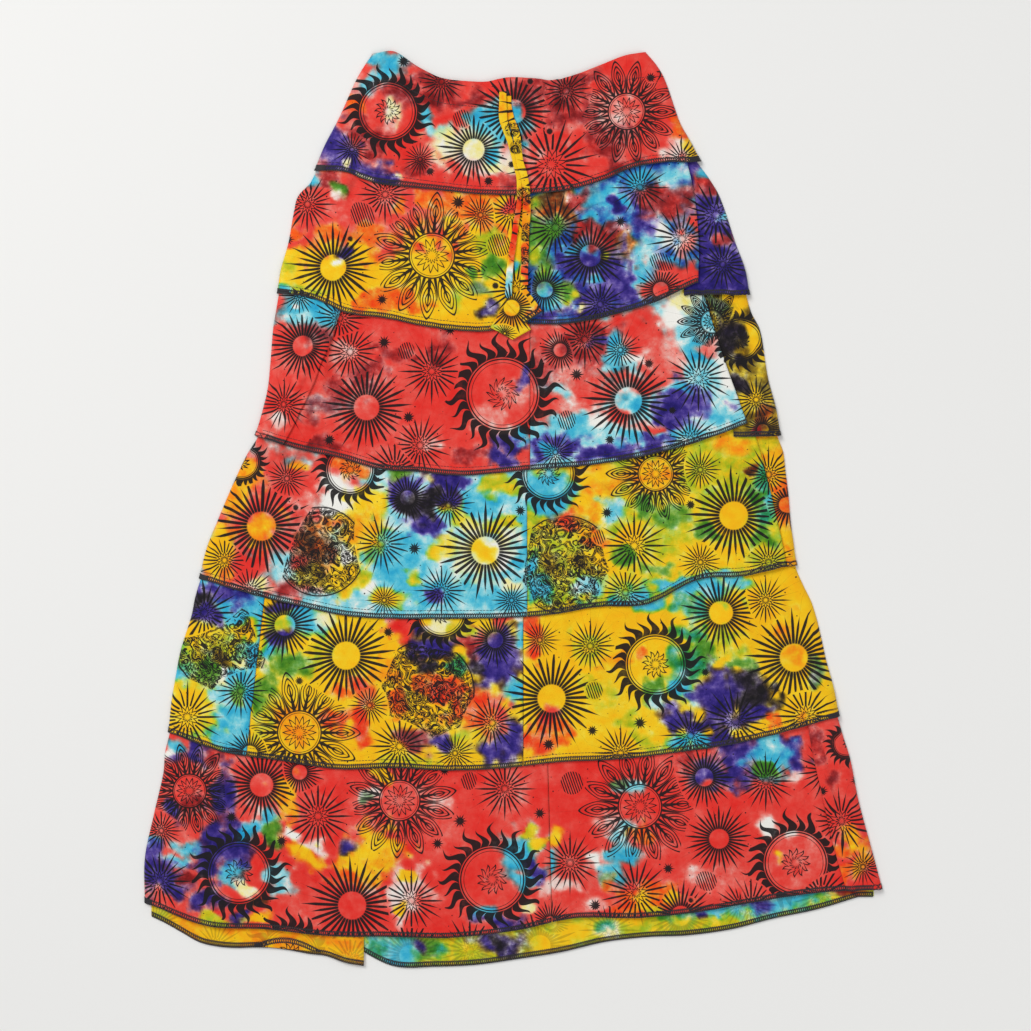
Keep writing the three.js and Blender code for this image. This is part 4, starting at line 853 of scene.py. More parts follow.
# Where the front's motifs lie, tier by tier, in squares: kind, across, down, radius and turn in degrees.
motifSquares = {
    1: [
        ["sun", 388, 112, 50, 10], ["burst", 474, 150, 36, 5], ["burst", 513, 112, 40, 0],
        ["rosette", 626, 112, 46, 0], ["bloom", 551, 165, 44, 12], ["bloom", 442, 82, 24, 20],
        ["bloom", 352, 150, 20, 0], ["star", 404, 62, 8, 0], ["star", 549, 133, 7, 20],
        ["star", 488, 181, 7, 10], ["bloom", 566, 92, 26, 8], ["bloom", 682, 160, 22, 8],
        ["star", 430, 172, 7, 0], ["hatch", 463, 122, 13, 0], ["star", 650, 78, 7, 4],
        ["star", 530, 82, 6, 0], ["bloom", 420, 160, 18, 0], ["star", 512, 165, 6, 15],
    ],
    2: [
        ["burst", 334, 268, 42, 6], ["bloom", 308, 205, 28, 0], ["hatch", 365, 213, 16, 0],
        ["rosette", 432, 256, 56, 8], ["hatch", 500, 244, 14, 0], ["star", 458, 203, 9, 10],
        ["star", 496, 286, 8, 0], ["bloom", 555, 228, 34, 15], ["burst", 590, 256, 36, 3],
        ["bloom", 640, 188, 28, 0], ["burst", 681, 240, 28, 9], ["bloom", 600, 305, 26, 0],
        ["burst", 660, 290, 24, 0], ["star", 620, 222, 7, 0], ["star", 382, 300, 7, 12],
        ["sun", 300, 318, 36, 0], ["star", 290, 240, 7, 0], ["burst", 385, 195, 24, 0],
        ["bloom", 480, 215, 22, 0], ["burst", 515, 290, 26, 5], ["burst", 545, 290, 26, 12],
        ["burst", 715, 215, 30, 0], ["bloom", 722, 265, 26, 10], ["hatch", 663, 262, 16, 0],
        ["star", 350, 240, 6, 0], ["burst", 512, 212, 22, 4],
    ],
    3: [
        ["burst", 367, 408, 42, 4], ["bloom", 350, 352, 30, 10], ["star", 384, 342, 8, 0],
        ["star", 409, 417, 8, 15], ["hatch", 408, 352, 11, 0], ["sun", 503, 394, 64, 6],
        ["bloom", 584, 340, 30, 0], ["burst", 628, 401, 44, 7], ["star", 577, 375, 8, 0],
        ["star", 648, 364, 7, 10], ["burst", 698, 378, 28, 0], ["hatch", 566, 420, 11, 0],
        ["burst", 304, 346, 34, 8], ["bloom", 285, 405, 26, 0], ["burst", 690, 440, 24, 5],
        ["bloom", 420, 445, 30, 12], ["rosette", 712, 322, 30, 0], ["burst", 432, 372, 26, 0],
        ["bloom", 555, 452, 22, 0], ["star", 330, 440, 7, 0], ["burst", 560, 350, 22, 0],
        ["star", 450, 330, 7, 0], ["sun", 740, 340, 36, 15], ["bloom", 755, 400, 24, 0],
        ["burst", 762, 430, 18, 0], ["bloom", 620, 350, 22, 8], ["star", 672, 410, 6, 0],
        ["burst", 395, 470, 26, 0], ["bloom", 300, 296, 20, 0], ["star", 610, 440, 7, 0],
        ["burst", 340, 318, 24, 0],
    ],
    4: [
        ["burst", 262, 526, 48, 3], ["sun", 243, 462, 30, 0], ["bloom", 287, 478, 22, 8],
        ["sun", 350, 470, 42, 0], ["bloom", 381, 543, 30, 14], ["burst", 485, 550, 46, 5],
        ["coral", 320, 551, 46, 0], ["coral", 565, 565, 50, 0], ["sun", 548, 474, 46, 8],
        ["bloom", 634, 545, 34, 0], ["burst", 733, 515, 46, 9], ["rosette", 655, 474, 44, 0],
        ["bloom", 442, 590, 26, 0], ["bloom", 700, 562, 22, 11], ["burst", 768, 562, 20, 0],
        ["bloom", 448, 505, 26, 5], ["star", 414, 548, 8, 0], ["star", 607, 512, 7, 10],
        ["hatch", 599, 538, 10, 0], ["star", 520, 510, 7, 0], ["burst", 408, 498, 24, 12],
        ["burst", 225, 560, 20, 0], ["bloom", 700, 470, 22, 0], ["burst", 768, 475, 22, 0],
        ["star", 296, 508, 6, 0], ["star", 690, 505, 7, 0], ["burst", 625, 592, 22, 0],
        ["bloom", 512, 600, 20, 0], ["burst", 786, 505, 26, 0], ["bloom", 384, 600, 18, 0],
        ["burst", 250, 590, 20, 8],
    ],
    5: [
        ["burst", 346, 655, 46, 6], ["coral", 222, 648, 46, 0], ["bloom", 188, 716, 34, 0],
        ["rosette", 300, 732, 54, 0], ["coral", 425, 690, 50, 0], ["burst", 551, 698, 46, 2],
        ["sun", 442, 612, 42, 0], ["burst", 793, 657, 46, 8], ["burst", 720, 612, 38, 0],
        ["bloom", 492, 722, 28, 9], ["star", 548, 743, 8, 0], ["star", 640, 722, 8, 12],
        ["star", 592, 730, 7, 0], ["hatch", 592, 690, 12, 0], ["bloom", 590, 645, 26, 0],
        ["sun", 655, 664, 52, 5], ["burst", 495, 640, 26, 0], ["bloom", 735, 720, 34, 10],
        ["burst", 690, 735, 24, 0], ["bloom", 765, 600, 24, 0], ["burst", 285, 625, 34, 11],
        ["burst", 205, 612, 28, 0], ["star", 388, 632, 7, 0], ["burst", 400, 745, 26, 0],
        ["bloom", 370, 705, 22, 0], ["burst", 805, 715, 28, 0], ["star", 300, 680, 6, 0],
        ["bloom", 540, 640, 20, 0], ["burst", 250, 752, 24, 5], ["star", 760, 688, 7, 0],
        ["burst", 620, 752, 22, 0], ["bloom", 455, 752, 22, 0], ["star", 705, 672, 6, 0],
        ["burst", 242, 690, 22, 0],
    ],
    6: [
        ["burst", 262, 784, 38, 4], ["rosette", 190, 790, 42, 0], ["sun", 240, 872, 54, 7],
        ["bloom", 318, 815, 34, 0], ["burst", 352, 905, 46, 8], ["rosette", 400, 800, 50, 10],
        ["bloom", 505, 788, 30, 0], ["hatch", 572, 782, 13, 0], ["sun", 492, 878, 58, 0],
        ["rosette", 640, 806, 54, 4], ["bloom", 636, 892, 34, 12], ["burst", 718, 838, 32, 6],
        ["burst", 704, 776, 30, 0], ["sun", 795, 862, 56, 10], ["bloom", 570, 862, 30, 0],
        ["star", 460, 820, 8, 0], ["star", 540, 812, 7, 0], ["star", 445, 770, 7, 0],
        ["star", 595, 905, 8, 0], ["burst", 160, 880, 26, 0], ["bloom", 162, 830, 22, 0],
        ["star", 690, 900, 8, 0], ["hatch", 706, 880, 12, 0], ["bloom", 765, 780, 28, 0],
        ["burst", 300, 772, 24, 5], ["star", 282, 840, 7, 0], ["burst", 412, 900, 26, 0],
        ["star", 438, 842, 7, 0], ["burst", 550, 922, 22, 0], ["bloom", 740, 905, 24, 0],
        ["burst", 840, 820, 24, 0], ["bloom", 858, 870, 18, 0], ["star", 232, 816, 7, 0],
        ["hatch", 470, 780, 10, 0], ["burst", 826, 770, 24, 7], ["star", 668, 868, 7, 0],
        ["burst", 155, 925, 26, 0], ["sun", 290, 955, 50, 0], ["bloom", 215, 945, 26, 0],
        ["burst", 350, 960, 26, 0], ["burst", 410, 955, 34, 0], ["bloom", 470, 950, 34, 0],
        ["burst", 540, 945, 36, 0], ["bloom", 610, 930, 30, 0], ["burst", 680, 915, 34, 0],
        ["bloom", 750, 905, 30, 0], ["burst", 820, 895, 30, 0],
    ],
    "pleat": [
        ["sun", 846, 742, 26, 0], ["bloom", 840, 820, 32, 4], ["star", 822, 790, 7, 0],
        ["bloom", 862, 866, 20, 0], ["burst", 812, 880, 26, 9], ["star", 852, 780, 6, 12],
    ],
}
smallBurst = {"below": 31, "keptEvery": 4, "grow": 5}  # the others below this radius become blooms
rayReach = 1.15  # how far a burst's or bloom's points reach, in millimetres for each square

# On the ties and their tips, in millimetres: kind, X, Y, radius and turn.
tieMotifs = [
    ["bloom", 30, 412, 56, 7], ["scrawl", 1, 390, 13, 80], ["scrawl", 6, 372, 11, 20],
    ["bloom", 44, 348, 50, 0], ["scrawl", 14, 322, 13, 110], ["bloom", -34, 296, 54, 10],
    ["scrawl", 14, 284, 12, 40], ["scrawl", 13, 258, 14, 60], ["bloom", 40, 236, 50, 5],
    ["burst", -1, 206, 30, 12], ["bloom", -8, 180, 16, 0],
]


def motifRow(index, kind, across, down, radius, turn):  # a motif in squares as one in millimetres
    if kind == "burst" and radius < smallBurst["below"] and index % smallBurst["keptEvery"]:
        kind, radius = "bloom", radius + smallBurst["grow"]
    atX, atY = fromSquares(across, down)
    reach = rayReach if kind in ("burst", "bloom") else square["size"]
    return [kind, round(atX), round(atY), round(radius * reach), turn]


motifRows = {
    tier: [motifRow(index, *row) for index, row in enumerate(rows)] for tier, rows in motifSquares.items()
}
motifRows["ties"] = tieMotifs
mirrorShift = {"x": 40, "y": 12, "turn": 30}  # the back's print is the front's, mirrored and moved
strokeGrowth = {"usual": 48, "powers": [0.85, 0.55, 0]}  # how strokes grow with a motif's radius


# The print on every face: which motif is nearest, measured in its own radius, the place of the face's
# corners in that motif's own directions, and how far they are from where the next motif takes over.
def addPrint(thing, x, y, tier, mirrored):
    rows = motifRows[tier]
    if mirrored:
        toX, toY, more = mirrorShift.values()
        rows = [[kind, toX - atX, atY + toY, radius, turn + more] for kind, atX, atY, radius, turn in rows]
    centre = np.array([row[1:3] for row in rows], float)
    radius = np.array([row[3] for row in rows], float)
    turn = np.radians([row[4] for row in rows])
    mesh = thing.data
    corners = np.zeros(len(mesh.loops), np.int32)
    mesh.loops.foreach_get("vertex_index", corners)
    flat = np.tile(np.stack([x.ravel(), y.ravel()], -1), (len(mesh.vertices) // x.size, 1))
    away = flat[:, None] - centre
    shares = np.linalg.norm(away, axis=-1) / radius
    faceShares = shares[corners].reshape(-1, 4, len(rows)).mean(axis=1)
    chosen = faceShares.argmin(axis=1)
    atCorner = np.repeat(chosen, 4)
    order = np.argsort(shares, axis=1)[:, :2]
    other = np.where(order[corners, 0] == atCorner, order[corners, 1], order[corners, 0])
    clear = (shares[corners, other] - shares[corners, atCorner]) * radius[atCorner] * 0.5
    fromCentre = away[corners, atCorner]
    cos, sin = np.cos(turn[atCorner]), np.sin(turn[atCorner])
    awayX, awayY = fromCentre.T
    local = [cos * awayX + sin * awayY, cos * awayY - sin * awayX, clear]
    addVectors(mesh, "printPlace", "CORNER", np.stack(local, -1))
    kinds = [motifKinds[row[0]] for row in rows]
    outer = radius[:, None]
    tables = {
        "printRays": np.array([[k["rays"], k["inner"], 1] for k in kinds]) * outer ** [0, 1, 1],
        "printStroke": np.array([k["stroke"] for k in kinds])
        * (outer / strokeGrowth["usual"]) ** strokeGrowth["powers"],
        "printRings": np.array([k["rings"] for k in kinds]) * outer,
        "printFill": np.array([k["fill"] for k in kinds], float),
    }
    for name, table in tables.items():
        addVectors(mesh, name, "FACE", table[chosen])


def addVectors(mesh, name, domain, values):
    attribute = mesh.attributes.new(name, "FLOAT_VECTOR", domain)
    attribute.data.foreach_set("vector", np.ascontiguousarray(values, np.float32).ravel())


dyeParts = {"dyeFirst": 0, "dyeSecond": 3, "dyeThird": 6}  # attributes that hold three dyes each


def addDye(thing, x, y, name):
    amounts = dyeAmounts(x, y, name).reshape(len(dyes), -1)
    copies = len(thing.data.vertices) // x.size
    for part, first in dyeParts.items():
        addVectors(thing.data, part, "POINT", np.tile(amounts[first:first + 3].T, (copies, 1)))


# Small makers of shader nodes, so that a formula reads as one.
def newMaterial(name):
    material = bpy.data.materials.new(name)
    material.use_nodes = True
    return material, material.node_tree.nodes, material.node_tree.links


def setInputs(node, values):
    for name, value in values.items():
        node.inputs[name].default_value = value


def wire(links, socket, value):
    if isinstance(value, bpy.types.NodeSocket):
        links.new(value, socket)
    elif value is not None:
        socket.default_value = value


def calculator(nodes, links):
    def calc(operation, *values, clamp=False):
        node = nodes.new("ShaderNodeMath")
        node.operation = operation
        node.use_clamp = clamp
        for socket, value in zip(node.inputs, values):
            wire(links, socket, value)
        return node.outputs[0]

    return calc, *(partial(calc, operation) for operation in ("MULTIPLY", "SUBTRACT", "MULTIPLY_ADD"))


def readVector(nodes, links, name):  # the three numbers of an attribute, and the whole
    node = nodes.new("ShaderNodeAttribute")
    node.attribute_name = name
    parts = nodes.new("ShaderNodeSeparateXYZ")
    links.new(node.outputs["Vector"], parts.inputs[0])
    return (*parts.outputs, node.outputs["Vector"])


def linear(colour):  # screen values from 0 to 255 as linear light
    share = np.array(colour) / 255
    return np.where(share > 0.04045, ((share + 0.055) / 1.055) ** 2.4, share / 12.92)


# The ink: rays between the inner and the outer radius, which widen from their root over the first
# third of their length and taper to a point, with shorter rays between; outlines of circles and
# petals where the distance from them is under a line's half width; hatching, mottling and dots.
def inkAmount(nodes, links):
    calc, times, minus, scaled = calculator(nodes, links)
    x, y, clear, place = readVector(nodes, links, "printPlace")
    count, inner, outer, _ = readVector(nodes, links, "printRays")
    width, sway, root, _ = readVector(nodes, links, "printStroke")
    ring, petals, band, _ = readVector(nodes, links, "printRings")
    hatched, mottled, taper, _ = readVector(nodes, links, "printFill")
    radius = calc("SQRT", scaled(x, x, times(y, y)))
    angle = calc("ARCTAN2", y, x)
    swayed = times(sway, calc("SINE", times(minus(radius, inner), 0.26)))
    angle = calc("ADD", angle, calc("DIVIDE", swayed, calc("MAXIMUM", radius, 1)))
    turns = times(calc("DIVIDE", angle, 2 * np.pi), count)
    share = calc("ABSOLUTE", minus(turns, calc("ROUND", turns)))
    arc = times(calc("DIVIDE", radius, count), 2 * np.pi)
    fromLong = times(share, arc)
    fromShort = times(minus(0.5, share), arc)
    soft = 0.28

    def inked(half, distance):  # 1 inside a line of that half width, 0 outside it
        return scaled(minus(half, distance), 1 / soft, 0.5, clamp=True)

    def most(*values):
        while len(values) > 1:
            values = (calc("MAXIMUM", values[0], values[1]), *values[2:])
        return values[0]

    def ray(distance, reach, thickness):
        length = times(minus(outer, inner), reach)
        a = calc("DIVIDE", minus(radius, inner), calc("MAXIMUM", length, 0.1))
        widening = scaled(a, 2.6, root, clamp=True)
        shape = times(times(minus(1, a), taper, clamp=True), widening)
        half = times(times(width, thickness), shape)
        started = scaled(a, 30, 0, clamp=True)
        return times(inked(half, distance), started)

    def outlineAt(distance, half, size):  # only where that outline has a size
        return times(inked(half, calc("ABSOLUTE", distance)), calc("GREATER_THAN", size, 0.5))

    rays = most(ray(fromLong, 1, 1), ray(fromShort, 0.74, 0.85))
    rings = most(
        outlineAt(minus(radius, ring), 0.75, ring),
        outlineAt(minus(radius, times(ring, 0.9)), 0.3, ring),
    )
    lobes = scaled(share, -1.15, 1.25)
    flower = times(petals, lobes)
    flowers = most(
        outlineAt(minus(radius, flower), 1.2, petals),
        outlineAt(minus(radius, times(flower, 0.45)), 0.8, petals),
    )
    # The band of petals: contours of |s/w|^1.5 + |t/h|^1.5 about each petal's middle.
    petalHalf = times(calc("DIVIDE", band, count), 2.6)
    petalHigh = times(minus(band, ring), 0.9)
    s = calc("POWER", calc("DIVIDE", fromLong, calc("MAXIMUM", petalHalf, 0.1)), 1.5)
    fromBand = calc("ABSOLUTE", minus(radius, band))
    t = calc("DIVIDE", fromBand, calc("MAXIMUM", calc("ABSOLUTE", petalHigh), 0.1))
    contour = calc("POWER", calc("ADD", s, calc("POWER", t, 1.5)), 0.67)
    nearestThird = calc("DIVIDE", calc("ROUND", times(contour, 3)), 3)
    steps = times(minus(contour, nearestThird), petalHalf)
    within = times(calc("LESS_THAN", contour, 1.12), calc("GREATER_THAN", band, 0.5))
    lace = times(inked(0.5, calc("ABSOLUTE", steps)), within)
    stripes = calc("PINGPONG", calc("ADD", x, times(y, 0.35)), 1.3)
    stripe = inked(scaled(hatched, 4, -3.35), stripes)
    inDisc = calc("LESS_THAN", radius, times(inner, 1.04))
    hatch = times(stripe, times(calc("GREATER_THAN", hatched, 0.5), inDisc))
    grain = nodes.new("ShaderNodeTexNoise")
    grain.noise_dimensions = "2D"
    setInputs(grain, {"Scale": 0.1, "Detail": 1.5, "Distortion": 2.2})
    links.new(place, grain.inputs["Vector"])
    vein = calc("ABSOLUTE", minus(grain.outputs["Fac"], 0.5))
    veins = scaled(minus(0.072, vein), 26, 0.5, clamp=True)
    clump = scaled(minus(grain.outputs["Fac"], 0.62), 26, 0.5, clamp=True)
    fading = scaled(calc("DIVIDE", radius, outer), -6, 6.4, clamp=True)
    coral = times(times(most(veins, clump), mottled), fading)
    spots = nodes.new("ShaderNodeTexVoronoi")
    spots.voronoi_dimensions = "2D"
    spots.inputs["Scale"].default_value = 0.1
    links.new(place, spots.inputs["Vector"])
    size = scaled(redOf(nodes, links, spots.outputs["Color"]), 0.14, -0.06)
    spot = scaled(minus(size, spots.outputs["Distance"]), 30, 0.5, clamp=True)
    outsideDisc = calc("GREATER_THAN", radius, times(outer, 0.62))
    dots = times(spot, outsideDisc)
    ink = most(rays, rings, flowers, lace, hatch, coral, dots)
    return times(ink, scaled(clear, 1.6, -0.5, clamp=True))


def redOf(nodes, links, colour):  # the first of a colour's three numbers
    parts = nodes.new("ShaderNodeSeparateColor")
    links.new(colour, parts.inputs[0])
    return parts.outputs[0]


# Printed cloth: the dyes' absorption added up and taken from white cloth, with the ink over it, and
# a bump of weave and crinkles. The wrong side shows weaker dye and a faint print.
clothLook = {
    "weave": 0.42, "weaveHeight": 0.00003, "crinkleHeight": 0.0011, "bump": 0.6, "roughness": 0.88,
    "sheen": 0.12, "specular": 0.25, "mottle": 85, "mottleDetail": 4, "mottleRoughness": 0.62,
    "evenDyes": 2, "swing": 2.2, "broken": 5, "worn": 0.5, "leastInk": 0.78,
    "ink": (0.007, 0.005, 0.006, 1),
}


def printedCloth(name, dyeStrength, inkStrength):
    material, nodes, links = newMaterial(name)
    calc, times, minus, scaled = calculator(nodes, links)
    shader = nodes["Principled BSDF"]
    setInputs(shader, {
        "Roughness": clothLook["roughness"], "Sheen Weight": clothLook["sheen"],
        "Specular IOR Level": clothLook["specular"],
    })
    coordinates = nodes.new("ShaderNodeTexCoord")
    mottle = nodes.new("ShaderNodeTexNoise")
    setInputs(mottle, {
        "Scale": clothLook["mottle"], "Detail": clothLook["mottleDetail"],
        "Roughness": clothLook["mottleRoughness"],
    })
    links.new(coordinates.outputs["Object"], mottle.inputs["Vector"])
    spread = nodes.new("ShaderNodeSeparateColor")
    links.new(mottle.outputs["Color"], spread.inputs[0])
    absorbed = None
    white = linear(clothWhite)
    strengths = [-np.log(linear(colour) / white) for colour in dyes.values()]
    for part, first in dyeParts.items():
        amounts = readVector(nodes, links, part)[:3]
        for index, amount in enumerate(amounts):
            noise = spread.outputs[(index + first // 3) % 3]
            even = first + index < clothLook["evenDyes"]  # red and yellow take evenly
            swing = 1 if even else clothLook["swing"]
            patchy = scaled(noise, swing, 1 - swing / 2)
            halfTaken = times(amount, minus(1, amount, clamp=True))
            partly = times(halfTaken, clothLook["broken"])
            broken = times(partly, minus(noise, 0.5))
            taken = calc("MAXIMUM", scaled(amount, patchy, broken), 0)
            held = times(taken, dyeStrength)
            add = nodes.new("ShaderNodeVectorMath")
            add.operation = "MULTIPLY_ADD"
            links.new(held, add.inputs[0])
            add.inputs[1].default_value = [float(s) for s in strengths[first + index]]
            if absorbed is not None:
                links.new(absorbed, add.inputs[2])
            absorbed = add.outputs[0]
    parts = nodes.new("ShaderNodeSeparateXYZ")
    links.new(absorbed, parts.inputs[0])
    colour = nodes.new("ShaderNodeCombineColor")
    for index in range(3):
        passed = calc("EXPONENT", times(parts.outputs[index], -1))
        links.new(times(passed, float(white[index])), colour.inputs[index])
    ink = inkAmount(nodes, links)
    mottled = mottle.outputs["Fac"]
    worn = scaled(mottled, clothLook["worn"], clothLook["leastInk"], clamp=True)
    printed = nodes.new("ShaderNodeMix")
    printed.data_type = "RGBA"
    links.new(times(times(ink, worn), inkStrength), printed.inputs[0])
    links.new(colour.outputs[0], printed.inputs[6])
    printed.inputs[7].default_value = clothLook["ink"]
    links.new(printed.outputs[2], shader.inputs["Base Color"])
    where = nodes.new("ShaderNodeSeparateXYZ")
    links.new(coordinates.outputs["Object"], where.inputs[0])
    thread = 2 * np.pi / (clothLook["weave"] * metre)
    warp = calc("SINE", times(where.outputs[0], thread))
    weft = calc("SINE", times(where.outputs[1], thread))
    weave = times(times(warp, weft), clothLook["weaveHeight"])
    crinkle = times(mottled, clothLook["crinkleHeight"])
    bump = nodes.new("ShaderNodeBump")
    setInputs(bump, {"Strength": clothLook["bump"], "Distance": 1})
    links.new(calc("ADD", weave, crinkle), bump.inputs["Height"])
    links.new(bump.outputs["Normal"], shader.inputs["Normal"])
    return material


# Sewing thread: dark, slightly uneven in colour along its length.
threadSurface = {"roughness": 0.72, "scale": 700}


def threadLook(name, dark, light):
    material, nodes, links = newMaterial(name)
    shader = nodes["Principled BSDF"]
    shader.inputs["Roughness"].default_value = threadSurface["roughness"]
    coordinates = nodes.new("ShaderNodeTexCoord")
    noise = nodes.new("ShaderNodeTexNoise")
    noise.inputs["Scale"].default_value = threadSurface["scale"]
    links.new(coordinates.outputs["Object"], noise.inputs["Vector"])
    ramp = nodes.new("ShaderNodeValToRGB")
    ramp.color_ramp.elements[0].color = (*linear(dark), 1)
    ramp.color_ramp.elements[1].color = (*linear(light), 1)
    links.new(noise.outputs["Fac"], ramp.inputs["Fac"])
    links.new(ramp.outputs["Color"], shader.inputs["Base Color"])
    return material


rightSide = printedCloth("printedCloth", 1, 0.98)
wrongSide = printedCloth("printedClothWrongSide", 0.97, 0.3)
blackThread = threadLook("blackThread", (16, 14, 16), (44, 38, 44))
print("materials made")

# The drawstring's two ends, with the route of their solids: X, Y, cloth level and width.
tieRows = {
    "tie_long": [
        [-10, 428, 2.3, 7], [-10, 414, 2.3, 8], [-9.5, 400, 2.3, 8.5], [-6, 387, 2.0, 7],
        [-2.5, 377, 1.4, 6], [0.5, 366, 1.3, 6], [3.5, 354, 1.8, 6], [6.5, 340, 2.3, 5.5],
        [7, 326, 2.4, 5], [6.5, 312, 1.9, 5], [3.5, 292, 1.1, 6], [0.5, 271, 1.1, 6.5],
        [-2.3, 251, 1.3, 7], [-3.6, 234, 1.9, 7], [-4.5, 216, 2.1, 7],
    ],
    "tie_short": [
        [-5, 424, 1.1, 7], [-4, 411, 1.1, 7], [-1.5, 400, 1.1, 7], [2.8, 388, 1.6, 7.5],
        [5, 377, 2.4, 7.5], [6, 366, 2.5, 7.5], [8, 354, 2.9, 7.5], [12, 341, 3.4, 7.5],
        [14.4, 323, 3.0, 7.5], [14.5, 307, 1.9, 8], [13.5, 289, 1.1, 8], [12.7, 270, 1.1, 8],
        [12.5, 252, 1.9, 7.5], [12, 238, 2.9, 7.5], [12, 229.5, 3.15, 8],
    ],
}
tieCloth = {"thickness": 0.95, "stepsPerRow": 10, "uneven": 0.05, "unevenWave": 0.7, "clear": 0.12,
            "corners": 20, "squareness": 0.55, "groove": 0.35, "grooveWidth": 3.2}
tipRows = {
    "tie_tip_lower": [[-4.5, 214.5], [19, 184], [0, 173.5], [-23, 186], 2.1],
    "tie_tip_upper": [[12, 228.5], [30.5, 203], [12, 191], [-7.5, 213], 3.15],
}


# A folded tape along a smooth curve through its rows: its section is a flat oval, as wide as the row
# says, that follows the cloth below it at its level.
def addTie(name):
    rows = np.array(tieRows[name], float)
    index = np.arange(len(rows))
    s = np.linspace(0, len(rows) - 1, (len(rows) - 1) * tieCloth["stepsPerRow"] + 1)
    x, y, level, width = (smoothThrough(np.stack([index, rows[:, k]], -1))(s) for k in range(4))
    width = width * (1 + tieCloth["uneven"] * cloud(s, 0 * s, tieCloth["unevenWave"], 21))
    base = frontHeight + relief(x, y) + level * pitch + tieCloth["clear"]
    middle = base + tieCloth["thickness"] / 2
    turns = np.linspace(0, 2 * np.pi, tieCloth["corners"], endpoint=False)
    across, high = (np.sign(f) * np.abs(f) ** tieCloth["squareness"] for f in (np.cos(turns), np.sin(turns)))
    dent = tieCloth["groove"] * np.exp(-((across * tieCloth["grooveWidth"]) ** 2))
    seam = 1 - dent * (high > 0)  # a groove down the folded tape
    path = np.stack([x, y, middle], -1)
    along = np.gradient(path, axis=0)
    sideways = np.stack([-along[:, 1], along[:, 0], 0 * x], -1)
    sideways /= np.linalg.norm(sideways, axis=1, keepdims=True)
    up = np.array([0, 0, 1.0])
    points = path[:, None] + sideways[:, None] * (width[:, None] / 2 * across)[..., None]
    points = points + up * (tieCloth["thickness"] / 2 * (high * seam))[None, :, None]
    rings, corners = points.shape[:2]
    a = (np.arange(rings - 1)[:, None] * corners + np.arange(corners)).ravel()
    b = (np.arange(rings - 1)[:, None] * corners + (np.arange(corners) + 1) % corners).ravel()
    sides = np.stack([a, a + corners, b + corners, b], -1)
    fan = np.arange(0, corners // 2 - 1)
    ends = []
    for first, flip in ((0, False), ((rings - 1) * corners, True)):
        cap = np.stack([fan, fan + 1, corners - 2 - fan, corners - 1 - fan], -1) + first
        ends.append(cap if flip else cap[:, ::-1])
    quads = np.concatenate([sides, *ends])
    smooth = np.repeat([True, False], [len(sides), len(quads) - len(sides)])
    tie = meshOf(name + "_cloth", points.reshape(-1, 3), quads, smooth, [rightSide])
    addDye(tie, points[..., 0], points[..., 1], name)
    addPrint(tie, points[..., 0], points[..., 1], "ties", False)
    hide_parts(name)
    return tie, path * metre


# A tip is a scrap of cloth between four corners, swollen a little between its edges.
tipCloth = {"under": 0.2, "over": 0.95, "swell": 1.1, "uneven": 0.35, "wave": 9, "deepest": -0.1, "steps": 22}


def tipFaces(name, u, v):
    top, right, foot, left, level = tipRows[name]
    x, y = (mix(mix(top[k], right[k], u), mix(left[k], foot[k], u), v) for k in range(2))
    swell = tipCloth["swell"] * np.sin(np.pi * u) * np.sin(np.pi * v)
    swell = np.maximum(swell + tipCloth["uneven"] * cloud(x, y, tipCloth["wave"], 23), tipCloth["deepest"])
    height = frontHeight + relief(x, y) + level * pitch
    inner = np.stack([x, y, height + tipCloth["under"]], -1)
    return inner, np.stack([x, y, height + tipCloth["over"] + swell], -1)


def addTip(name):
    steps = np.linspace(0, 1, tipCloth["steps"])
    u, v = np.meshgrid(steps, steps)
    inner, outer = tipFaces(name, u, v)
    tip = shell(name + "_cloth", inner, outer, [rightSide, wrongSide])
    addDye(tip, outer[..., 0], outer[..., 1], name)
    addPrint(tip, outer[..., 0], outer[..., 1], "ties", False)
    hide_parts(name)
    return tip


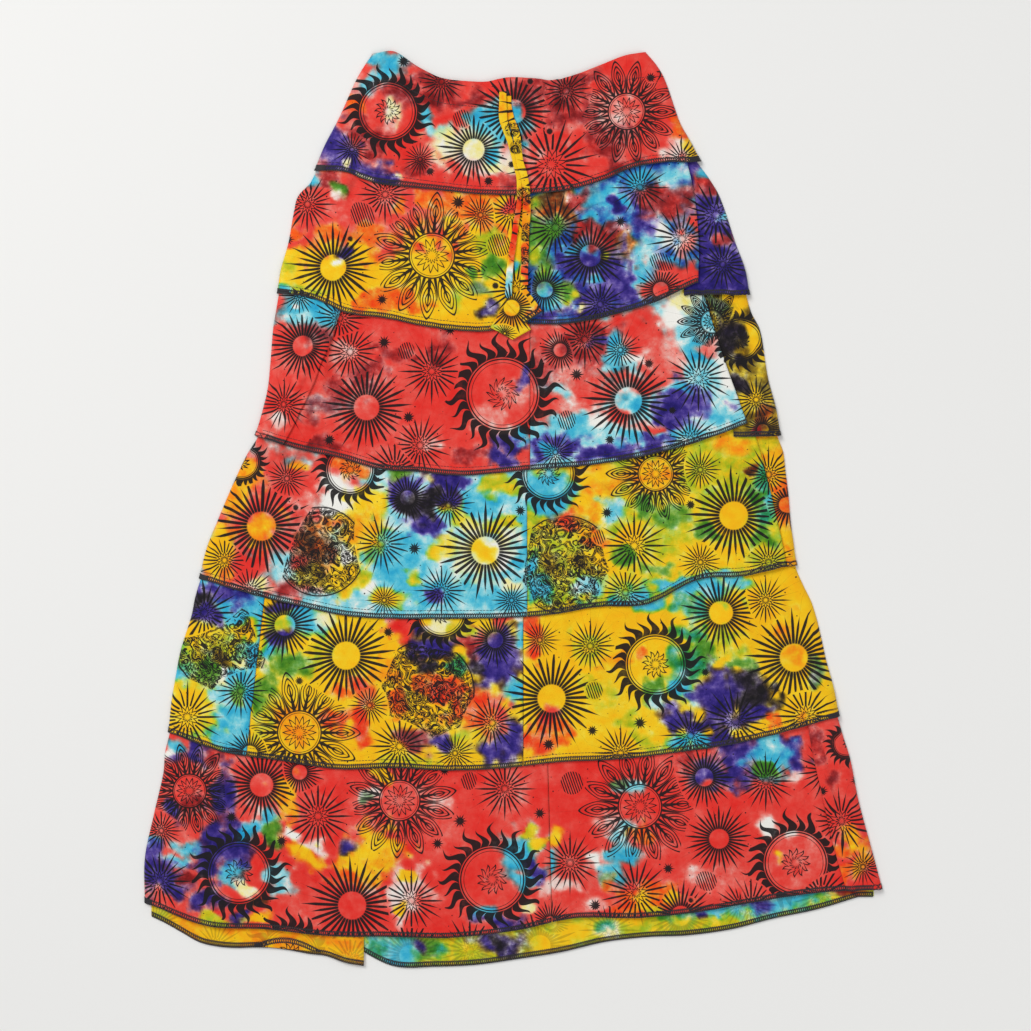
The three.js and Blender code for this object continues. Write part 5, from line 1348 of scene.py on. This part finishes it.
# The panels, each from its tier's upper edge to its lower one unless its row names others. Levels are
# given at the left, in the middle and at the right, at the top and at the foot.
usualFront = {
    "front": True, "topLap": lap, "footLap": 0, "left": "side", "right": "side", "leftShift": 0,
    "rightShift": 0, "leftReach": 18, "rightReach": 18, "topLevels": [0, 0, 0], "footLevels": [1, 1, 1],
    "cell": 2.5, "held": "laid",
}
usualBack = {
    "front": False, "topLap": -halfBack, "footLap": halfBack, "left": "side", "right": "side",
    "leftShift": 0, "rightShift": 0, "raised": False, "cell": 5, "held": "laid",
}
panels = {
    "waistband_front": {"tier": 1, "topLap": 0, "footLevels": [1, 1, 2], "rightReach": 30, "slot": "red",
                        "under": "waistband_back"},
    "tier2_front_left": {"tier": 2, "right": "centre2", "rightShift": -half, "footLevels": [2, 1, 1],
                         "leftReach": 75, "slot": "yellow"},
    "tier2_front_right": {"tier": 2, "left": "centre2", "leftShift": half, "right": "fold2",
                          "topLevels": [0, 0, 1], "footLevels": [1, 1, 3], "slot": "blue"},
    "tier2_side_right": {"tier": 2, "top": "shoulder2", "foot": "strip2", "left": "fold2",
                         "leftShift": -tuck, "footLevels": [2, 2, 2], "slot": "blue", "held": "folded"},
    "tier3_side_left": {"tier": 3, "right": "foldLeft3", "topLevels": [1, 1, 1], "footLevels": [2, 2, 2],
                        "slot": "red", "held": "folded"},
    "tier3_front_left": {"tier": 3, "left": "foldLeft3", "leftShift": -tuck, "right": "centre3",
                         "rightShift": -half, "slot": "red"},
    "tier3_front_right": {"tier": 3, "left": "centre3", "leftShift": half, "right": "fold3",
                          "topLevels": [0, 0, 1], "footLevels": [1, 1, 3], "slot": "red"},
    "tier3_side_right": {"tier": 3, "top": "strip2", "foot": "strip3", "left": "fold3",
                         "leftShift": -tuck, "footLevels": [2, 2, 2], "slot": "green", "held": "folded"},
    "tier4_front_left": {"tier": 4, "right": "centre4", "rightShift": -half, "slot": "green"},
    "tier4_front_right": {"tier": 4, "left": "centre4", "leftShift": half, "right": "fold4",
                          "topLevels": [0, 0, 1], "footLevels": [1, 1, 2], "slot": "green"},
    "tier4_side_right": {"tier": 4, "top": "strip3", "foot": "strip4", "left": "fold4",
                         "leftShift": -tuck, "slot": "yellow", "held": "folded"},
    "tier5_side_left": {"tier": 5, "right": "side5", "rightShift": -half, "slot": "blue"},
    "tier5_front_left": {"tier": 5, "left": "side5", "leftShift": half, "right": "centre5",
                         "rightShift": -half, "slot": "yellow"},
    "tier5_front_right": {"tier": 5, "left": "centre5", "leftShift": half, "footLevels": [1, 1, 2],
                          "rightReach": 50, "slot": "yellow"},
    "tier6_front_left": {"tier": 6, "right": "centre6", "rightShift": -half, "footLevels": [0, 0, 0],
                         "slot": "red", "under": "tier6_back_left"},
    "tier6_front_right": {"tier": 6, "left": "centre6", "leftShift": half, "right": "pleat6",
                          "rightShift": tuck, "footLevels": [0, 0, 0], "slot": "red",
                          "under": "tier6_back_right"},
    "tier6_pleat_right": {"tier": 6, "left": "pleat6", "topLevels": [1, 1, 1], "footLevels": [1, 1, 1],
                          "slot": "red", "print": "pleat", "under": "tier6_front_right",
                          "held": "folded"},
}
backPanels = {
    "waistband_back": {"tier": 1, "topLap": -4, "slot": "red"},
    "tier2_back": {"tier": 2, "slot": "blue"},
    "tier3_back": {"tier": 3, "slot": "red"},
    "tier4_back": {"tier": 4, "slot": "green"},
    "tier5_back": {"tier": 5, "slot": "yellow"},
    "tier6_back_left": {"tier": 6, "foot": "hemBackLeft", "footLap": 0, "right": "backFold",
                        "raised": True, "slot": "yellow"},
    "tier6_back_right": {"tier": 6, "foot": "hemBackRight", "footLap": 0, "left": "backFold",
                         "leftShift": -tuck, "slot": "green"},
}
clothDepths = [0.35, 1.05]  # where the thin cloth's two faces lie in the solid's wall
backDepths = [0.4, 1.05]
turnSteps = 7


def acrossSteps(piece, columns):  # even steps, and finer ones through a side fold's turn
    start = turnShare if turnsDown(piece, "left") else 0
    end = 1 - turnShare if turnsDown(piece, "right") else 1
    before = np.linspace(0, start, turnSteps, endpoint=False) if start else []
    after = np.linspace(1, end, turnSteps, endpoint=False)[::-1] if end < 1 else []
    return np.concatenate([before, mix(start, end, np.linspace(0, 1, columns)), after])


def spanOf(piece):  # about how wide and high a panel is
    x, y, _, _ = placeFlat(piece, np.linspace(0, 1, 9)[None, :], np.linspace(0, 1, 9)[:, None])
    return np.ptp(x, axis=1).max(), np.ptp(y, axis=0).max()


# Square-sectioned threads through points of shape (rings, threads, 3), with flat ends.
def threadPoints(points, normals, halfWidth, halfHeight):
    along = np.gradient(points, axis=0)
    sideways = np.cross(along, normals)
    sideways /= np.linalg.norm(sideways, axis=-1, keepdims=True)
    signs = [(-1, -1), (1, -1), (1, 1), (-1, 1)]
    corners = [points + a * halfWidth * sideways + b * halfHeight * normals for a, b in signs]
    return np.stack(corners, 2)


def threadQuads(rings, threads, first):
    ring = np.arange(rings)[:, None] * threads * 4
    start = ring + np.arange(threads)[None, :] * 4
    quads = []
    for corner in range(4):
        a, b = start + corner, start + (corner + 1) % 4
        quads.append(np.stack([a[:-1], b[:-1], b[1:], a[1:]], -1).reshape(-1, 4))
    quads.append(np.stack([start[0] + k for k in (3, 2, 1, 0)], -1))
    quads.append(np.stack([start[-1] + k for k in range(4)], -1))
    return np.concatenate(quads) + first


sewing = {"width": 4.4, "pitch": 2.1, "slant": 1.0, "back": -0.6, "bar": 0.34, "thick": 0.26, "lift": 0.1,
          "over": 0.35, "turnedOver": 0.5, "clear": 0.002, "lowest": 0.03}
looped = {"perBar": 4, "rim": [-0.25, 0.25], "inner": 0.45, "lift": 0.14, "halfWidth": 0.36, "thick": 0.28}
topstitch = {"above": 8, "casing": 27, "stitch": 2.3, "pitch": 3.1, "halfWidth": 0.24, "thick": 0.16,
             "lift": 0.05}


# A row of places along an edge: surface gives the points and normals at a share of the edge's
# length, a distance in from it and a lift off the cloth. Open fault: at both ends of a line of
# stitches the clip lays two of a stitch's points on each other, and its corners there aren't finite.
def alongEdge(surface, length, count, distances, shifts, lift):
    share = np.linspace(0, 1, count)[None, :] + np.array(shifts)[:, None] / length
    share = np.clip(share, sewing["clear"], 1 - sewing["clear"])
    return surface(share, np.array(distances)[:, None] + 0 * share, lift)


# Overlocking: bars over the edge that lean both ways, and a looped thread along the rim and another
# along the bars' inner ends.
def overlock(surface, length, downwards=False):
    groups = []
    reach = sewing["width"]
    count = max(int(length / sewing["pitch"]), 4)
    distances = [-sewing["over"], 0.2, reach * 0.5, reach]
    for lean in (sewing["slant"], sewing["back"] * sewing["slant"]):
        points, normal = alongEdge(surface, length, count, distances, [-lean, -lean, 0, lean], sewing["lift"])
        points[0] -= normal[0] * (-sewing["turnedOver"] if downwards else sewing["turnedOver"])
        groups.append((points, normal, sewing["bar"], sewing["thick"]))
    many = count * looped["perBar"]
    for away, wobble in (looped["rim"], (reach, looped["inner"])):
        points, normal = alongEdge(surface, length, many, [away], [0], looped["lift"])
        points, normal = points[0][:, None], normal[0][:, None]
        points[:, 0, 1] += wobble * np.sin(np.arange(many) * np.pi / 2)
        groups.append((points, normal, looped["halfWidth"], looped["thick"]))
    return groups


def stitchLine(surface, length, away):  # a line of short stitches, that far in from the edge
    stitches = max(int(length / topstitch["pitch"]), 3)
    lean = topstitch["stitch"] / 2
    points, normal = alongEdge(surface, length, stitches, [away] * 3, [-lean, 0, lean], topstitch["lift"])
    return points, normal, topstitch["halfWidth"], topstitch["thick"]


def threadMesh(name, groups):
    points, quads, first = [], [], 0
    for path, normals, halfWidth, halfHeight in groups:
        corners = threadPoints(path, normals, halfWidth, halfHeight)
        quads.append(threadQuads(*path.shape[:2], first))
        points.append(corners.reshape(-1, 3))
        first += corners.size // 3
    quads, points = np.concatenate(quads), np.concatenate(points)
    points[:, 2] = np.maximum(points[:, 2], sewing["lowest"])
    thread = meshOf(name, points, quads, np.zeros(len(quads), bool), [blackThread])
    return thread


# The sewing of a panel: its overlocked foot, and the lines of stitches above it.
def addSewing(name, piece, width, height, lines):
    below = not piece["front"] and bool(lines)  # the back's right side faces down
    depth = backDepths[0] if below else clothDepths[1] if piece["front"] else backDepths[1]

    def surface(share, away, lift):
        return onCloth(piece, share, 1 - away / height, depth - lift if below else depth + lift)

    groups = overlock(surface, width, below) + [stitchLine(surface, width, away) for away in lines]
    return threadMesh(name, groups)


# The foot of the upper tip keeps the overlocked edge of the panel it was cut from.
def addTipSewing(name):
    side = 30

    def surface(share, away, lift):
        points = tipFaces(name, 1 - away / side, share)[1] + np.array([0, 0, lift])
        return points, np.zeros_like(points) + np.array([0, 0, 1.0])

    top, right, foot = tipRows[name][:3]
    length = float(np.hypot(right[0] - foot[0], right[1] - foot[1]))
    return threadMesh(name + "_sewing", overlock(surface, length))


# The buttonhole that both ends come out of: two columns of satin stitches with a bar at each end.
buttonhole = {"x": -6, "y": 423, "length": 11, "gap": 0.2, "bar": 1.9, "pitch": 0.62, "rise": 0.35}


def addButtonhole():
    row = buttonhole
    groups = []
    y = row["y"] + np.linspace(-0.5, 0.5, int(row["length"] / row["pitch"])) * row["length"]
    for side in (-1, 1):
        x = row["x"] + side * (row["gap"] + row["bar"] * np.array([0, 0.5, 1]))
        groups.append(np.stack(np.meshgrid(x, y, indexing="ij"), -1))
    x = row["x"] + (row["gap"] + row["bar"]) * np.array([-1, 0, 1])
    y = row["y"] + row["length"] / 2 * np.array([-1.05, -0.98, 0.98, 1.05])
    groups.append(np.stack(np.meshgrid(x, y, indexing="ij"), -1))
    made = []
    for flat in groups:
        rise = row["rise"] * np.array([0.2, 1, 0.2])[:, None]
        height = frontHeight + relief(flat[..., 0], flat[..., 1]) + clothDepths[1] + rise
        points = np.dstack([flat, height])
        made.append((points, np.zeros_like(points) + np.array([0, 0, 1.0]), 0.3, 0.2))
    return threadMesh("buttonhole_sewing", made)


for tieName, tipName in (("tie_long", "tie_tip_lower"), ("tie_short", "tie_tip_upper")):
    tie, path = addTie(tieName)
    pieces = [addTip(tipName)]
    if tipName == "tie_tip_upper":
        pieces.append(addTipSewing(tipName))
addButtonhole()
print("drawstring ends laid")


smallCreases = 1.02  # how much larger the flat cloth is than the surface it is laid in


def gridArea(points):
    across, down = np.diff(points, axis=1)[:-1], np.diff(points, axis=0)[:, :-1]
    return float(np.linalg.norm(np.cross(across, down), axis=-1).sum())


def addPanel(name, row, usual):
    piece = {**usual, "top": tierEdges[row["tier"] - 1], "foot": tierEdges[row["tier"]], **row}
    wide, high = spanOf(piece)
    u = acrossSteps(piece, int(wide / piece["cell"]) + 2)[None, :]
    v = np.linspace(0, 1, int(high / piece["cell"]) + 2)[:, None]
    depths = clothDepths if piece["front"] else backDepths
    (inner, outer), x, y = clothSurface(piece, u, v, depths)
    sides = [rightSide, wrongSide] if piece["front"] else [wrongSide, rightSide]
    panel = shell(name + "_cloth", inner, outer, sides)
    addDye(panel, x, y, name)
    addPrint(panel, x, y, row.get("print", piece["tier"]), not piece["front"] and piece["tier"] < 6)
    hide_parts(name)
    down = np.linalg.norm(np.diff(outer, axis=0), axis=-1).sum(axis=0)
    across = np.linalg.norm(np.diff(outer, axis=1), axis=-1).sum(axis=1)
    height = float(down.mean())
    lines = [topstitch["above"]] if piece["foot"].startswith("seam") else []
    if piece["tier"] == 1:
        lines.append(height - topstitch["casing"])
    thread = addSewing(name + "_sewing", piece, float(across[-1]), height, lines)
    flat = (float(across.max()) * metre * smallCreases, float(down.max()) * metre * smallCreases)
    area = min(gridArea(outer) * metre**2 * smallCreases, 0.999 * flat[0] * flat[1])


for stage, rows, usual in (("front", panels, usualFront), ("back", backPanels, usualBack)):
    for name, row in rows.items():
        addPanel(name, row, usual)
    print(stage, "laid")

# The stretch of the back's hem that is turned up, right side up: a narrow lens.
turnedHem = {"startX": -266, "endX": -198, "startY": -450, "endY": -456, "upper": 11, "lower": 0,
             "ends": 0.1, "swell": 0.6, "under": 0.3, "over": 1.0, "lastRow": 0.9}


def bulgeOf(u):  # the lens is a tenth as wide at its ends as in its middle
    return np.sin(np.pi * u) * (1 - turnedHem["ends"]) + turnedHem["ends"]


def turnedFaces(u, v):
    row = turnedHem
    bulge = bulgeOf(u)
    x = mix(row["startX"], row["endX"], u)
    y = mix(row["startY"], row["endY"], u) + mix(row["upper"], row["lower"], v) * bulge
    swell = row["swell"] * np.sin(np.pi * np.clip(v, 0, 1)) * bulge
    inner = np.stack([x, y, pitch + row["under"] + 0 * x], -1)
    return inner, np.stack([x, y, pitch + row["over"] + swell], -1)


def addTurnedHem():
    u, v = np.meshgrid(np.linspace(0, 1, 60), np.linspace(0, 1, 12))
    inner, outer = turnedFaces(u, v)
    hem = shell("tier6_hem_turned_cloth", inner, outer, [rightSide, wrongSide])
    addDye(hem, outer[..., 0], outer[..., 1], "tier6_back_left")
    addPrint(hem, outer[..., 0], outer[..., 1], 6, False)
    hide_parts("tier6_hem_turned")

    def surface(share, away, lift):
        high = (turnedHem["upper"] - turnedHem["lower"]) * bulgeOf(share)
        down = np.minimum(away / high, turnedHem["lastRow"])
        points = turnedFaces(share, down)[1] + np.array([0, 0, lift])
        return points, np.zeros_like(points) + np.array([0, 0, 1.0])

    length = turnedHem["endX"] - turnedHem["startX"]
    thread = threadMesh("tier6_hem_turned_sewing", overlock(surface, length))


addTurnedHem()
print("turned hem laid")

# A plain pale floor, and soft light from the upper left.
studio = {
    "floor": 3.4, "floorColour": (238, 236, 232), "key": 128, "keySize": 2, "keyAt": (-2.5, 2.3, 3.2),
    "fill": 16, "fillSize": 2.2, "fillAt": (1.4, -0.9, 2.2), "sky": 0.485, "skyColour": (0.93, 0.96, 1, 1),
    "roughness": 0.9,
}


def addLight(name, place, size, power):
    data = bpy.data.lights.new(name, "AREA")
    data.size = size
    data.energy = power
    light = bpy.data.objects.new(name, data)
    light.location = place
    aim = -np.array(place)
    light.rotation_euler = (np.arctan2(np.hypot(aim[0], aim[1]), -aim[2]), 0, np.arctan2(-aim[0], aim[1]))
    bpy.context.scene.collection.objects.link(light)


def addStudio():
    size = studio["floor"] / 2
    mesh = bpy.data.meshes.new("floor")
    corners = [(-size, -size, 0), (size, -size, 0), (size, size, 0), (-size, size, 0)]
    mesh.from_pydata(corners, [], [(0, 1, 2, 3)])
    floor = bpy.data.objects.new("floor", mesh)
    bpy.context.scene.collection.objects.link(floor)
    material, nodes, links = newMaterial("floorPaint")
    setInputs(nodes["Principled BSDF"], {
        "Base Color": (*linear(studio["floorColour"]), 1), "Roughness": studio["roughness"],
    })
    mesh.materials.append(material)
    addLight("keyLight", studio["keyAt"], studio["keySize"], studio["key"])
    addLight("fillLight", studio["fillAt"], studio["fillSize"], studio["fill"])
    world = bpy.data.worlds.new("sky")
    world.use_nodes = True
    background = world.node_tree.nodes["Background"]
    setInputs(background, {"Color": studio["skyColour"], "Strength": studio["sky"]})
    bpy.context.scene.world = world
    bpy.context.scene.view_settings.view_transform = "Standard"


addStudio()
print("studio set")
